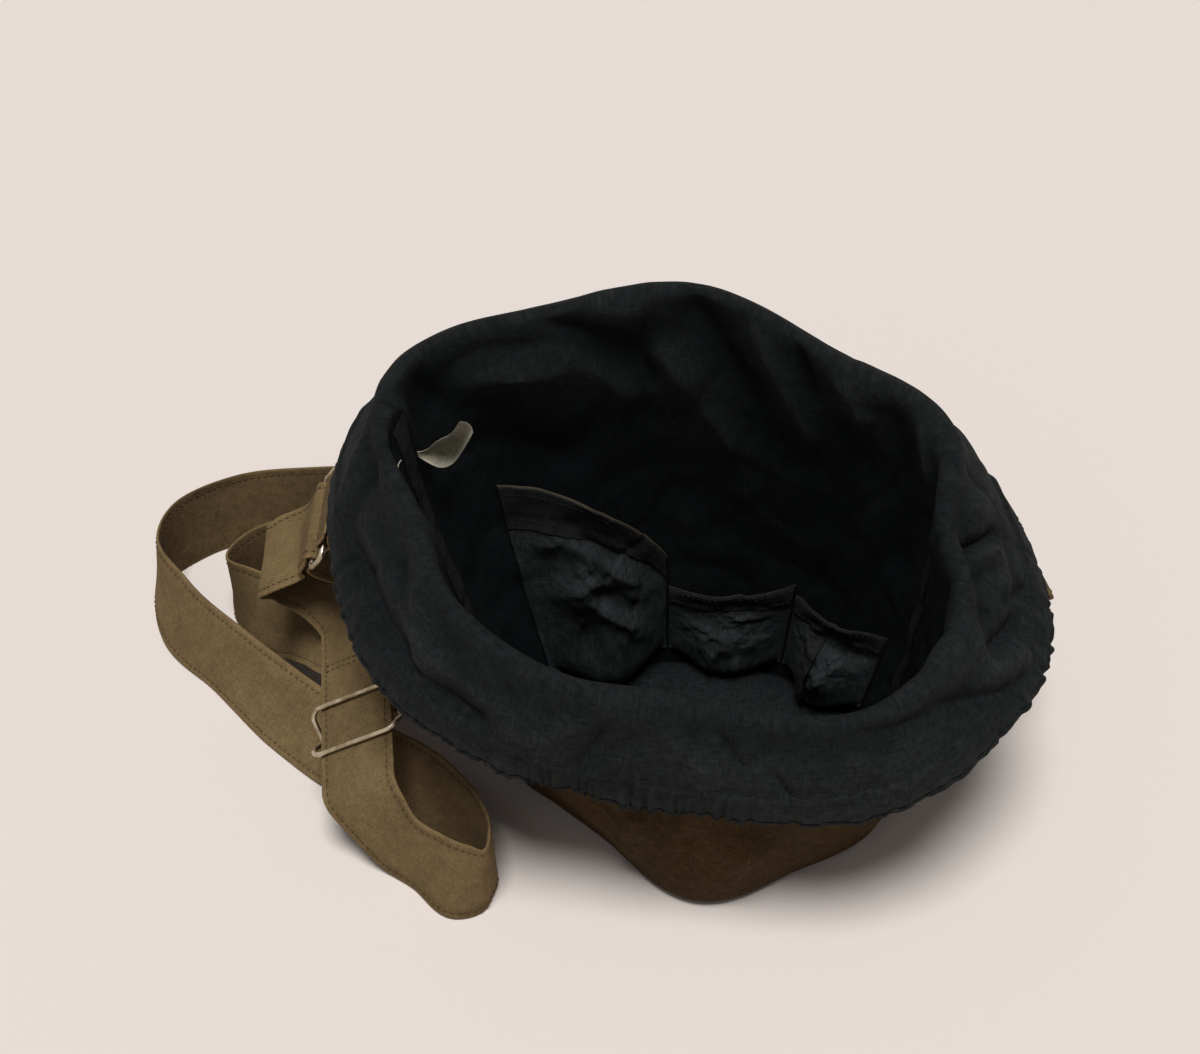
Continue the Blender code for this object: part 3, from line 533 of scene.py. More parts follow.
# %% [markdown]
# ## Sheets and skins
# Two shapes are enough for this bag. A sheet is two grids, its face and its back, closed by a rim. A skin
# is a section carried along a path, for the strap, the wires, the piping and the hem's binding. Blender's
# curves and its solidify modifier could make both, but then UV map and wear would be harder to place.

# %% Sheets and swept skins
def cloth_slab(name, face, back, uv, wear_and_painted_light, material, around=False):
    """Closed sheet between two grids of one size: both grids, and a rim of faces along their edges."""
    columns, rows = face.shape[:2]
    half = columns * rows
    front = strip_quads(columns, rows, around)
    number = np.arange(half).reshape(columns, rows)
    edges = [(number[:, 0], True), (number[:, -1], False)]
    if not around:
        edges += [(number[0], False), (number[-1], True)]
    rims = []
    for line, flip in edges:
        closing = around and len(line) == columns
        start, end = (line, np.roll(line, -1)) if closing else (line[:-1], line[1:])
        if flip:
            start, end = end, start
        rims.append(np.stack([start, end, end + half, start + half], -1))
    quads = np.concatenate([front, front[:, ::-1] + half] + rims)
    points = np.concatenate([face.reshape(-1, 3), back.reshape(-1, 3)])
    uv = np.tile(uv.reshape(-1, 2), (2, 1))
    wear_and_painted_light = np.tile(np.broadcast_to(wear_and_painted_light, (columns, rows)).ravel(), 2)
    return add_piece(name, points, quads, uv, wear_and_painted_light, material)


def swept_skin(name, rings, uv, wear_and_painted_light, material, closed=False):
    """Closed skin of a cross-section carried along a path: rings of points, with its two ends folded flat
    onto their middles unless the path closes on itself."""
    count, around = rings.shape[:2]
    wear_and_painted_light = np.broadcast_to(wear_and_painted_light, (count, around))
    if closed:
        quads = strip_quads(count, around, True, True)
        return add_piece(name, rings.reshape(-1, 3), quads, uv.reshape(-1, 2), wear_and_painted_light.ravel(), material)
    caps = np.stack([rings[0].mean(0) + 0 * rings[0], rings[-1].mean(0) + 0 * rings[-1]])
    caps = caps + 0.02 * (rings[[0, -1]] - caps)
    rings = np.concatenate([caps[:1], rings, caps[1:]])
    uv = np.concatenate([uv[:1], uv, uv[-1:]])
    wear_and_painted_light = np.concatenate([wear_and_painted_light[:1], wear_and_painted_light, wear_and_painted_light[-1:]])
    quads = strip_quads(count + 2, around, False, True)
    k = np.arange(around // 2 - 1)
    fold = np.stack([k, k + 1, around - 2 - k, around - 1 - k], -1)
    last = (count + 1) * around
    quads = np.concatenate([quads, fold[:, ::-1], fold + last])
    return add_piece(name, rings.reshape(-1, 3), quads, uv.reshape(-1, 2), wear_and_painted_light.ravel(), material)


print("sheet and skin makers ready")

# %% [markdown]
# ## Nodes of a finish
# A finish is a small tree of shader nodes. Pictures of real cloth could be used instead, but noise and waves
# have no seams and are as sharp close up as from afar. A few helpers keep the trees short to write. Numbers
# that are the same all over sit on the shader itself.

# %% Node helpers
def start_finish(name, roughness, sheen, sheen_tint):
    """A Principled material with its even numbers set, and its node tree."""
    material = bpy.data.materials.new(name)
    material.use_nodes = True
    shader = material.node_tree.nodes["Principled BSDF"]
    even = {"Roughness": roughness, "Specular IOR Level": 0.12, "Sheen Weight": sheen,
            "Sheen Roughness": 0.45, "Sheen Tint": sheen_tint}
    for key, value in even.items():
        shader.inputs[key].default_value = value
    return material, material.node_tree, shader


def add_math(tree, operation, first, second=0.0, third=0.5):
    """One Math node; its inputs are sockets or numbers, and the third is what a multiply-add adds."""
    return add_node(tree, "Math", {0: first, 1: second, 2: third}, operation=operation).outputs[0]


def add_mix(tree, factor, first, second, blend="MIX"):
    """One colour Mix node; its colours are sockets or values."""
    inputs = {0: factor, 6: first, 7: second}
    return add_node(tree, "Mix", inputs, data_type="RGBA", blend_type=blend).outputs[2]


def add_span(tree, value, low, high, to_low=0.0, to_high=1.0):
    """A value stretched so that low gives one end of a range and high the other."""
    inputs = {"Value": value, "From Min": low, "From Max": high, "To Min": to_low, "To Max": to_high}
    return add_node(tree, "MapRange", inputs).outputs[0]


def add_noise(tree, scale, detail, low, high):
    """Noise on Object coordinates, in cells to the metre, stretched so that low gives 0 and high gives 1."""
    place = add_node(tree, "TexCoord", {}).outputs["Object"]
    noise = add_node(tree, "TexNoise", {"Scale": scale, "Detail": detail, "Vector": place})
    return add_span(tree, noise.outputs[0], low, high)


print("node helpers ready")

# %% [markdown]
# ## Woven cloth
# All the cloth is plain weave: threads go over and under each other, so its height is the product of two sine
# waves, one across each set of threads. Cotton lining has two threads to the millimetre, and the canvas is
# coarser. Broad noise gives washed, uneven dye, noise drawn out along the threads makes them uneven, finer
# noise gives lint, and the attribute of wear and painted light fades rubbed edges and paints light and shade
# on folds, cuff, pockets and base.

# %% Weave, threads and wear
CLOTH_ROUGHNESS = 0.92
SLUB = (1.3 * MM, 4.5 * MM)


def add_weave(tree, pitch):
    """Height of a plain weave from 0 to 1: sine along u times sine along v, with a pitch in metres."""
    place = add_node(tree, "TexCoord", {}).outputs["UV"]
    parts = add_node(tree, "SeparateXYZ", {0: place})
    warp, weft = (add_math(tree, "SINE", add_math(tree, "MULTIPLY", parts.outputs[k], math.pi / pitch))
                  for k in range(2))
    return add_math(tree, "MULTIPLY_ADD", add_math(tree, "MULTIPLY", warp, weft), 0.5, 0.5)


def add_slubs(tree, across, along):
    """Uneven threads from 0 to 1: noise on the UV map drawn out along the weft, averaged with noise drawn out
    along the warp."""
    place = add_node(tree, "TexCoord", {}).outputs["UV"]
    threads = []
    for scale in ((1 / along, 1 / across, 1.0), (1 / across, 1 / along, 1.0)):
        stretch = add_node(tree, "Mapping", {"Scale": scale, "Vector": place})
        noise = add_node(tree, "TexNoise", {"Scale": 1.0, "Detail": 2.0, "Vector": stretch.outputs[0]})
        threads.append(noise.outputs[0])
    mean = add_math(tree, "MULTIPLY", add_math(tree, "ADD", *threads), 0.5)
    return add_span(tree, mean, 0.36, 0.64)


def add_bump(tree, shader, height, strength, distance):
    """Bump from a height socket."""
    node = add_node(tree, "Bump", {"Strength": strength, "Distance": distance, "Height": height})
    tree.links.new(node.outputs[0], shader.inputs["Normal"])


def add_wear_and_painted_light(tree):
    """The piece's own attribute of wear and painted light and shade."""
    return add_node(tree, "Attribute", {}, attribute_name="wear_and_painted_light").outputs["Fac"]


def cloth_finish(name, deep, plain, faded, pitch, fuzz, sheen, slub, uneven=0.3):
    """Woven cloth: deep to plain dye by broad noise, faded where the attribute of wear and painted light is
    high, dark between its threads, with uneven threads and lint."""
    tint = tuple(min(1.0, 2.5 * x) for x in faded[:3]) + (1.0,)
    material, tree, shader = start_finish(name, CLOTH_ROUGHNESS, sheen, tint)
    weave = add_weave(tree, pitch)
    broad = add_noise(tree, 28.0, 4.0, 0.32, 0.68)
    streak = add_noise(tree, 240.0, 5.0, 0.3, 0.72)
    dye = add_mix(tree, broad, deep, plain)
    dye = add_mix(tree, add_math(tree, "MULTIPLY", streak, slub), dye, faded)
    patch = add_math(tree, "MULTIPLY_ADD", add_noise(tree, 130.0, 5.0, 0.2, 0.8), 0.5, 0.5)
    # paler where the attribute is high, as wear and painted light; darker where it is low, as painted shade
    dye = add_mix(tree, add_math(tree, "MULTIPLY", add_wear_and_painted_light(tree), patch), dye, faded)
    lint = add_noise(tree, 1500.0, 3.0, 0.2, 0.8)
    threads = add_slubs(tree, *SLUB)
    shade = add_math(tree, "MULTIPLY_ADD", lint, 0.5, 0.55 - 0.5 * uneven)
    shade = add_math(tree, "MULTIPLY_ADD", threads, uneven, shade)
    shade = add_math(tree, "MULTIPLY_ADD", weave, 0.36, shade)
    grey = add_node(tree, "CombineColor", {0: shade, 1: shade, 2: shade})
    tree.links.new(add_mix(tree, 1.0, dye, grey.outputs[0], "MULTIPLY"), shader.inputs["Base Color"])
    height = add_math(tree, "ADD", weave, add_math(tree, "MULTIPLY", threads, uneven))
    height = add_math(tree, "MULTIPLY_ADD", lint, fuzz, height)
    add_bump(tree, shader, height, 0.55, 0.28 * pitch)
    return material


print("cloth finish ready")

# %% [markdown]
# ## The finishes of this bag
# Near-black cotton inside, brown canvas outside, a paler, sun-bleached strap, and old brass wire. The canvas
# is darker than the strap partly as painted shade, for where it lies under the cuff. The colours were matched
# with the photograph, under this scene's light. Each cloth goes from a deep dye to a plain one, and to a
# faded one where the attribute of wear and painted light is high.

# %% The finishes of this bag
# deep, plain and faded colour; thread pitch, lint, sheen, streaks and unevenness
LINING = cloth_finish("black_cotton", (0.0014, 0.0023, 0.0030, 1), (0.0023, 0.0034, 0.0041, 1),
                      (0.0195, 0.0217, 0.0223, 1), 0.5 * MM, 0.5, 0.03, 0.14, 0.85)
# pocket cotton: the lining's black painted paler, as the light that falls on the pockets
POCKET_COTTON_PAINTED_LIGHT = cloth_finish("pocket_cotton_painted_light", (0.0024, 0.0034, 0.0040, 1), (0.0036, 0.0048, 0.0055, 1),
                             (0.0275, 0.0315, 0.0325, 1), 0.5 * MM, 0.5, 0.03, 0.14, 0.85)
BINDING = cloth_finish("black_binding", (0.0065, 0.0075, 0.0085, 1), (0.0120, 0.0132, 0.0140, 1),
                       (0.0205, 0.0205, 0.0195, 1), 0.7 * MM, 0.5, 0.03, 0.4, 0.6)
# canvas darker than the strap partly as painted shade, where it lies under the cuff
CANVAS_PAINTED_SHADE = cloth_finish("brown_canvas_painted_shade", (0.0225, 0.0114, 0.0035, 1), (0.039, 0.0208, 0.0069, 1),
                      (0.066, 0.0378, 0.0140, 1), 0.85 * MM, 0.4, 0.03, 0.4, 0.6)
STRAP = cloth_finish("strap_canvas", (0.070, 0.045, 0.021, 1), (0.094, 0.062, 0.029, 1),
                     (0.225, 0.154, 0.072, 1), 0.8 * MM, 0.4, 0.03, 0.3, 0.26)
PIPING = cloth_finish("tan_piping", (0.022, 0.019, 0.013, 1), (0.042, 0.035, 0.024, 1),
                      (0.075, 0.062, 0.043, 1), 0.6 * MM, 0.4, 0.08, 0.4)
LABEL = cloth_finish("woven_label", (0.22, 0.20, 0.14, 1), (0.36, 0.33, 0.25, 1),
                     (0.50, 0.47, 0.38, 1), 0.4 * MM, 0.3, 0.05, 0.5)
THREAD = cloth_finish("brown_thread", (0.066, 0.043, 0.020, 1), (0.096, 0.064, 0.030, 1),
                      (0.14, 0.095, 0.048, 1), 0.3 * MM, 0.3, 0.05, 0.4)
BLACK_THREAD = cloth_finish("black_thread", (0.010, 0.011, 0.012, 1), (0.018, 0.020, 0.021, 1),
                            (0.03, 0.03, 0.03, 1), 0.3 * MM, 0.3, 0.05, 0.4)


def wire_finish(name):
    """Old brass wire: metal whose colour and gloss wander between bright rubbed places and brown tarnish."""
    material, tree, shader = start_finish(name, 0.34, 0.0, (1.0, 1.0, 1.0, 1.0))
    shader.inputs["Metallic"].default_value = 1.0
    shader.inputs["Specular IOR Level"].default_value = 0.5
    tarnish = add_noise(tree, 160.0, 5.0, 0.35, 0.7)
    colour = add_mix(tree, tarnish, (0.50, 0.44, 0.33, 1.0), (0.22, 0.17, 0.10, 1.0))
    tree.links.new(colour, shader.inputs["Base Color"])
    tree.links.new(add_span(tree, tarnish, 0.0, 1.0, 0.26, 0.55), shader.inputs["Roughness"])
    add_bump(tree, shader, add_noise(tree, 900.0, 4.0, 0.3, 0.7), 0.15, 0.1 * MM)
    return material


BRASS = wire_finish("old_brass")
print("finishes:", len(bpy.data.materials))

# %% [markdown]
# ## Lining and canvas
# The bag is two bags, one in the other. Each is a front and a back panel with side seams. Rows are
# close together at the crest and the hem, where the cloth bends most. Canvas lies on the middle of the
# loft and the lining just inside it, so over the crest and down the cuff it is the lining that shows.
# Near the hem it rises over the elastic in its casing.

# %% Panels
CANVAS_HALF = 0.8 * MM
LINING_NEAR, LINING_FAR = 1.2 * MM, 2.2 * MM
CASING_LIFT = 1.8 * MM
CASING_EDGE = (11.0 * MM, 14.5 * MM)
CREST_LIFT, CREST_SPREAD = 1.0 * MM, 8.0 * MM
SEAM_HALF = math.degrees(0.05 / WALL_RADIUS)
BINDING_HALF = math.degrees(4.5 / WALL_RADIUS)
PANEL_COLUMNS, PANEL_ROWS = 300, (6, 58, 22, 52)


def panel_times():
    """Times of a panel's rows, from base edge to hem, with a number of rows in each of four stretches."""
    stretches = ((0.0, 2.0), (2.0, 5.0), (5.0, 7.0), (7.0, HEM))
    parts = [np.linspace(a, b, n, endpoint=False) for (a, b), n in zip(stretches, PANEL_ROWS)]
    return np.concatenate(parts + [np.array([HEM])])


def casing_rise(angles, time):
    """How far the lining is lifted: by the elastic, with a smooth shoulder about 13 mm above the hem, and a
    little at the crest, as a bell."""
    past, to_hem = past_crest(angles, time)
    casing = CASING_LIFT * (1 - smooth_step(to_hem, *CASING_EDGE))
    return casing + CREST_LIFT * np.exp(-(past / CREST_SPREAD) ** 2)


def uv_grid(u, v):
    """A column of u and a row of v, or grids of both, made one grid of pairs."""
    return np.stack(np.broadcast_arrays(u, v), -1)


def cloth_uv(angles, time):
    """UV in metres: way round the bag, and way along the profile."""
    past, _ = past_crest(angles, time)
    return uv_grid(angles[:, None] * DEGREE, past)


def cloth_wear_and_painted_light(angles, time):
    """Wear and painted light of the cloth: painted light on the cuff, most at its front, and painted shade
    deep inside the bag; wear at crest and hem; painted highlight on ridges that stand proud and painted shade
    in hollows."""
    past, to_hem = past_crest(angles, time)
    proud = -fold_field(angles, np.broadcast_to(time, past.shape))
    # painted highlight on proud ridges and painted shade in the hollows of the folds
    painted_fold_light = np.clip(proud / (3.0 * MM), -1, 1)
    edge = 0.35 * np.exp(-(past / (9 * MM)) ** 2) + 0.3 * np.exp(-(to_hem / (5 * MM)) ** 2)
    front = 0.5 - 0.5 * np.sin(np.radians(angles - 10.0))[:, None]
    # painted light: paler on the cuff, most at its front, and darker deep inside the bag as painted shade
    painted_cuff_light = 0.18 * smooth_step(past, -60 * MM, -6 * MM)
    painted_cuff_light = painted_cuff_light + (0.19 + 0.42 * front) * smooth_step(past, 0.0, 22 * MM)
    return np.clip(painted_cuff_light + 0.34 * painted_fold_light + edge, 0, 1)


def make_panel(name, first, last, near, far, raised, material):
    """One panel between two seams, closed between a near and a far depth of the cloth, and raised over the
    elastic where asked."""
    angles = np.linspace(first + SEAM_HALF, last - SEAM_HALF, PANEL_COLUMNS)
    time = panel_times()
    rise = casing_rise(angles, time) if raised else 0.0
    item = cloth_slab(name, cloth(angles, time, near + rise), cloth(angles, time, far + rise),
                      cloth_uv(angles, time), cloth_wear_and_painted_light(angles, time), material)
    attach(item, "bag")
    print(name, "has", len(item.data.polygons), "faces")
    return item


for side, first, last in (("back", SEAM_RIGHT, SEAM_LEFT), ("front", SEAM_LEFT, SEAM_RIGHT + 360.0)):
    piece = make_panel("cotton_lining_" + side, first, last, LINING_NEAR, LINING_FAR, True, LINING)
    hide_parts("lining_" + side)
    piece = make_panel("canvas_wall_" + side, first, last, -CANVAS_HALF, CANVAS_HALF, False, CANVAS_PAINTED_SHADE)
    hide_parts("canvas_" + side)

# %% [markdown]
# ## Base
# The base is a flat canvas oval inside the wall's turned-in edge, with a lining oval that covers that edge.
# Each is a sheet of rings that shrink to the middle. The lining's top is rumpled, and painted paler in the
# middle and darker towards its rim, as painted shade from the walls.

# %% Base discs
RIPPLE_LIMIT = 1.2


def make_disc(name, turn_in, low, thickness, ripple, wear_and_painted_light, material, node):
    """A closed disc: rim points scaled towards their middle ring by ring, rippled on top by seeded noise and
    creases, which a tanh keeps low."""
    angles = np.linspace(0.0, 360.0, 181)[:-1]
    rim, out = oval(BASE_SIZE, BASE_CENTRE, BASE_SLOUCH, angles)
    rim = rim - out * (BASE_HEM + turn_in)
    middle = rim.mean(0)
    share = np.linspace(1.0, 0.002, 40)
    flat = middle + (rim - middle)[:, None] * share[None, :, None]
    x, y = flat[..., 0] / 400.0, flat[..., 1]
    wave = seeded_noise(x + 0.5, y / 24.0 + 30, 17, 11) + 0.3 * seeded_noise(x + 0.5, y / 9.0 + 30, 44, 12)
    line = np.abs(seeded_noise(x + 0.3 + y / 900.0, y / 30.0 + 12, 13, 15))
    wave = wave + 1.6 * np.clip(1 - line / 0.35, 0, 1)
    wave = RIPPLE_LIMIT * np.tanh(wave / RIPPLE_LIMIT) * (1 - share ** 6)
    low_grid = np.concatenate([flat, np.full(flat.shape[:2] + (1,), low)], -1) * MM
    top_grid = np.concatenate([flat, (low + thickness + ripple * (1 + wave))[..., None]], -1) * MM
    # painted shade: the base is darker towards its rim, where the walls shade it
    fade = np.broadcast_to(wear_and_painted_light * (1 - 0.75 * share ** 3), flat.shape[:2])
    item = cloth_slab(name, top_grid, low_grid, flat * MM, fade, material, around=True)
    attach(item, "bag")
    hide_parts(node)
    return item


make_disc("canvas_bottom", 0.6, 0.0, 1.6, 0.0, 0.0, CANVAS_PAINTED_SHADE, "canvas_base")
make_disc("cotton_bottom", -3.0, 3.2, 0.9, 1.9, 0.8, LINING, "lining_base")
print("base discs made")

# %% [markdown]
# ## Stitches
# Sewn lines are seen close up as short threads that dip into the cloth at both ends. One stitch is a tiny
# tube of a few faces. A whole row is made at once: the same tube is placed at every stitch by its
# directions along, across and out of the cloth.

# %% Rows of stitches
RING = 5
STITCH = RING * RING
STITCH_CAPS = [[0, 1, 2, 3], [0, 3, 4, 4], [20, 23, 22, 21], [20, 24, 24, 23]]
STITCH_WEAR = 0.2
CASING_SEAM = 14.6 * MM


def stitch_row(name, centre, forward, out, length, radius, material):
    """All stitches of a row in one mesh: a tube of five rings and five sides, bowed out in the middle."""
    share = np.linspace(-0.5, 0.5, RING)
    girth = radius * np.sqrt(1.02 - (2 * share) ** 2)
    turn = np.linspace(0, 2 * np.pi, RING, endpoint=False)
    across = np.cross(forward, out)
    bow = radius * (1.1 * np.cos(np.pi * share) - 0.5)
    along = forward[:, None, None] * (share * length)[None, :, None, None]
    side = across[:, None, None] * (girth[:, None] * np.cos(turn))[None, ..., None]
    height = out[:, None, None] * (girth[:, None] * np.sin(turn) + bow[:, None])[None, ..., None]
    points = (centre[:, None, None] + along + side + height).reshape(-1, 3)
    one = np.concatenate([strip_quads(RING, RING, False, True), STITCH_CAPS])
    count = len(centre)
    quads = (one[None] + STITCH * np.arange(count)[:, None, None]).reshape(-1, 4)
    a, b, c = (points[quads[:STITCH, k]] for k in range(3))
    middle = points[:STITCH].mean(0)
    if np.sum((a - middle) * np.cross(b - a, c - a)) < 0:
        quads = quads[:, ::-1]
    faces = [tuple(dict.fromkeys(quad)) for quad in quads.tolist()]
    uv = np.stack([np.repeat(np.arange(count) * length, STITCH),
                   np.tile(np.repeat(share, RING) * length, count)], -1)
    return add_object(name, points, faces, uv, np.full(STITCH * count, STITCH_WEAR), material)


def path_lengths(path):
    """Length along a path at each of its points: its chords, summed."""
    return np.concatenate([[0.0], np.cumsum(np.linalg.norm(np.diff(path, axis=0), axis=1))])


def points_along(stops, lengths, path):
    """Every column of a path, looked up in straight lines where its lengths reach the stops."""
    return np.stack([np.interp(stops, lengths, column) for column in path.T], -1)


def even_places(path, pitch):
    """Points and directions every pitch along a dense path, and their shares of its length."""
    lengths = path_lengths(path)
    stops = np.arange(0.6 * pitch, lengths[-1] - 0.5 * pitch, pitch)
    before, here, after = (points_along(stops + k * pitch, lengths, path) for k in (-0.3, 0.0, 0.3))
    return here, unit(after - before), stops / lengths[-1]


def cloth_stitches(name, angles, time, depth, pitch, material):
    """A row of stitches along the cloth, through the given angles and times, at a depth."""
    column = time[:, None]
    path = cloth(angles, column, depth)[:, 0]
    out = -wall_normals(angles, column)[:, 0]
    centre, forward, share = even_places(path, pitch)
    lengths = path_lengths(path)
    face = square_to(points_along(share, lengths / lengths[-1], out), forward)
    item = stitch_row(name, centre, forward, face, 0.68 * pitch, 0.24 * MM, material)
    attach(item, "bag")
    return item


ring_angles = np.linspace(0.0, 360.0, 1441)
whole = wall_lengths(ring_angles)[:, -1:]
casing_time = time_of_length(ring_angles, whole - CASING_SEAM)[:, 0]
casing_row = cloth_stitches("casing_stitches", ring_angles, casing_time, LINING_FAR + 0.1 * MM, 3.0 * MM,
                            BLACK_THREAD)
print("casing sewn", round(CASING_SEAM / MM, 1), "mm above the hem")

# %% [markdown]
# ## Hem: elastic, binding and gathers
# An elastic in the casing draws the cuff together, and a narrow binding closes its raw edge. The binding is a
# rounded cross-section carried round the hem along the gathered edge, so it ruffles with the cloth.

# %% Elastic and hem binding
ELASTIC_EDGES = (10.5 * MM, 3.0 * MM)
HEM_MIDDLE = 0.5 * (LINING_FAR + CASING_LIFT - CANVAS_HALF)


def make_elastic():
    """A flat ring between canvas and lining, from 10.5 to 3 mm above the hem, that follows the gathers."""
    angles = np.linspace(0.0, 360.0, 481)[:-1]
    length = wall_lengths(angles)[:, -1:]
    time = time_of_length(angles, length - np.linspace(*ELASTIC_EDGES, 6))
    item = cloth_slab("hem_elastic_band", cloth(angles, time, 1.25 * MM), cloth(angles, time, 2.6 * MM),
                      cloth_uv(angles, time), 0.0, BINDING, around=True)
    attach(item, "bag")
    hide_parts("hem_elastic")


def make_hem_binding():
    """A rounded section round the hem: its corners are points of a flat oval, set out along the cloth and
    square to it, with a small ruffle of its own."""
    angles = np.linspace(0.0, 360.0, 961)[:-1]
    column = np.full((len(angles), 1), HEM)
    edge = cloth(angles, column, HEM_MIDDLE)[:, 0]
    above = cloth(angles, column - 0.12, HEM_MIDDLE)[:, 0]
    down = unit(edge - above)
    across = unit(wall_normals(angles, column)[:, 0])
    turn = np.linspace(0, 2 * np.pi, 16, endpoint=False)
    ruffle = 0.5 * MM * np.sin(np.radians(angles) * 131 + 2.5 * seeded_noise(angles / 360.0, 2.0, 60, 21))
    middle = edge + down * (1.9 * MM + 0.5 * ruffle)[:, None] + across * (0.6 * ruffle)[:, None]
    wide = 2.3 * MM * np.sign(np.sin(turn)) * np.abs(np.sin(turn)) ** 0.7
    deep = 1.55 * MM * np.cos(turn)
    rings = middle[:, None] + across[:, None] * wide[None, :, None] + down[:, None] * deep[None, :, None]
    uv = uv_grid(angles[:, None] * DEGREE, turn[None] * 2 * MM)
    wear_and_painted_light = np.clip(0.35 + 0.6 * np.sin(np.radians(angles) * 62), 0, 1)[:, None]
    item = swept_skin("hem_ruffle", rings, uv, wear_and_painted_light, BINDING, closed=True)
    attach(item, "bag")
    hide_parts("hem_binding")
    return item


make_elastic()
make_hem_binding()
print("elastic and hem binding made")

# %% [markdown]
# ## Bound side seams
# Inside, the seams of the lining are covered by a strip of binding from the base to just under the crest.
# Each is a narrow slab on the same cloth, a little proud of it and thinner at its edges.

# %% Seam bindings
SEAM_FOOT, SEAM_TOP = 24.0 * MM, 10.5 * MM


def make_seam_binding(name, angle, node):
    """A strip 9 mm wide on the lining: its depth grows from edges and ends to the middle as a flat bow."""
    across = np.linspace(-1.0, 1.0, 13)
    along = np.linspace(0, 1, 110)
    angles = angle + across * BINDING_HALF
    time = time_of_length(angles, SEAM_FOOT + (crest_length(angles) - SEAM_TOP - SEAM_FOOT) * along)
    ends = smooth_step(along, 0.0, 0.04) * (1 - smooth_step(along, 0.94, 1.0))
    bow = (0.3 + 1.2 * (1 - across ** 4))[:, None] * (0.15 + 0.85 * ends)[None, :] * MM
    face = cloth(angles, time, LINING_FAR + 0.5 * MM)
    back = cloth(angles, time, LINING_FAR + 0.7 * MM + bow)
    item = cloth_slab(name, face, back, cloth_uv(angles, time), 0.35 * across[:, None] ** 6, BINDING)
    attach(item, "bag")
    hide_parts(node)


make_seam_binding("left_seam_binding", SEAM_LEFT, "lining_seam_left")
make_seam_binding("right_seam_binding", SEAM_RIGHT, "lining_seam_right")
print("side seams bound")

# %% [markdown]
# ## Pockets
# Three patch pockets of cotton are sewn to the lining at their sides and foot. Their cotton is painted
# slightly paler than the lining, as the light that falls on them. Their top edges gape, the left one most,
# and its cloth is crumpled. A pocket is a part of the wall's own grid, moved in by a bulge that is nothing at
# its sewn edges, plus lumps that fade out there, so that it can't reach through the wall.

# %% Shape of the pockets
POCKETS = {
    # first and last angle, height of the top edge at both, its arch, gape, crumple
    "left": (95.9, 136.0, 76.0, 126.0, 14.0, 22.0, 2.4),
    "middle": (59.1, 95.1, 70.0, 58.0, 0.0, 14.0, 1.6),
    "right": (24.0, 58.2, 64.0, 64.0, 0.0, 15.0, 2.0),
}
POCKET_LUMPS = {
    # share across, share up, half sizes of both, lean, height in mm
    "left": (
        (0.34, 0.66, 0.34, 0.07, 0.9, 10.0), (0.66, 0.52, 0.26, 0.06, -1.2, 15.0),
        (0.36, 0.36, 0.26, 0.07, 0.8, 15.0), (0.52, 0.50, 0.20, 0.05, 1.0, -9.0),
        (0.66, 0.26, 0.22, 0.09, -0.5, -9.0), (0.80, 0.72, 0.18, 0.05, -1.0, 7.0),
        (0.22, 0.50, 0.10, 0.16, 0.4, 8.0), (0.48, 0.78, 0.30, 0.04, 0.5, -6.0),
    ),
    "middle": (
        (0.50, 0.45, 0.40, 0.10, 0.5, 6.0), (0.30, 0.70, 0.20, 0.07, -0.6, 4.0),
        (0.7, 0.3, 0.2, 0.1, 0.8, 5.0),
    ),
    "right": (
        (0.36, 0.36, 0.24, 0.20, 0.3, 17.0), (0.70, 0.60, 0.16, 0.08, 0.8, 7.0),
        (0.36, 0.66, 0.3, 0.05, 0.3, -6.0),
    ),
}
POCKET_SEEDS = (40, 50, 60)
POCKET_FOOT = 20.0
SAG_FLOOR = 8.5 * MM


def pocket_depth(name, share, climb, seed):
    """How far a pocket stands off the lining, in metres: a sine across times a power of the way up, a slump
    low down, leaning lumps and crumple that fade out at its sewn edges and never reach the lining."""
    gape, crumple = POCKETS[name][5:]
    edge = np.sin(np.pi * np.clip(share, 0, 1))
    slump = smooth_step(climb, 0.0, 0.2) * (1 - 0.9 * np.clip((climb - 0.1) / 0.75, 0, 1))
    bulge = gape * np.sqrt(edge) * (0.75 * climb ** 3 + 1.25 * slump)
    free = np.sqrt(edge) * smooth_step(climb, 0.0, 0.3) * (1 - 0.75 * smooth_step(climb, 0.72, 0.9))
    for across, up, wide, tall, lean, height in POCKET_LUMPS[name]:
        x = (share - across) / wide
        y = (climb - up) / tall - lean * x
        bulge = bulge + 0.65 * height * free * np.exp(0.3 - np.sqrt(x ** 2 + y ** 2 + 0.09))
    rough = seeded_noise(share, 7.0 * climb + 0.5 * np.sin(9 * share), 6, seed)
    rough = rough + 0.6 * seeded_noise(share, 15.0 * climb + 10, 13, seed + 1)
    rough = rough + 0.3 * seeded_noise(share, 28.0 * climb + 20, 25, seed + 2)
    above = np.logaddexp(0.0, 1.5 * (bulge + crumple * rough * free)) / 1.5
    return (0.8 + above * np.sqrt(edge)) * MM


def pocket_cloth(angles, time, depth, share, climb):
    """Points of a pocket: the wall's cloth at a depth, let down to the base by a bell at its foot."""
    bell = np.exp(-((climb - 0.1) / 0.12) ** 2) * smooth_step(climb, 0.0, 0.08)
    sag = np.sin(np.pi * np.clip(share, 0, 1)) ** 0.5 * bell
    points = cloth(angles, time, depth)
    points[..., 2] -= np.clip(points[..., 2] - SAG_FLOOR, 0, None) * sag
    return points


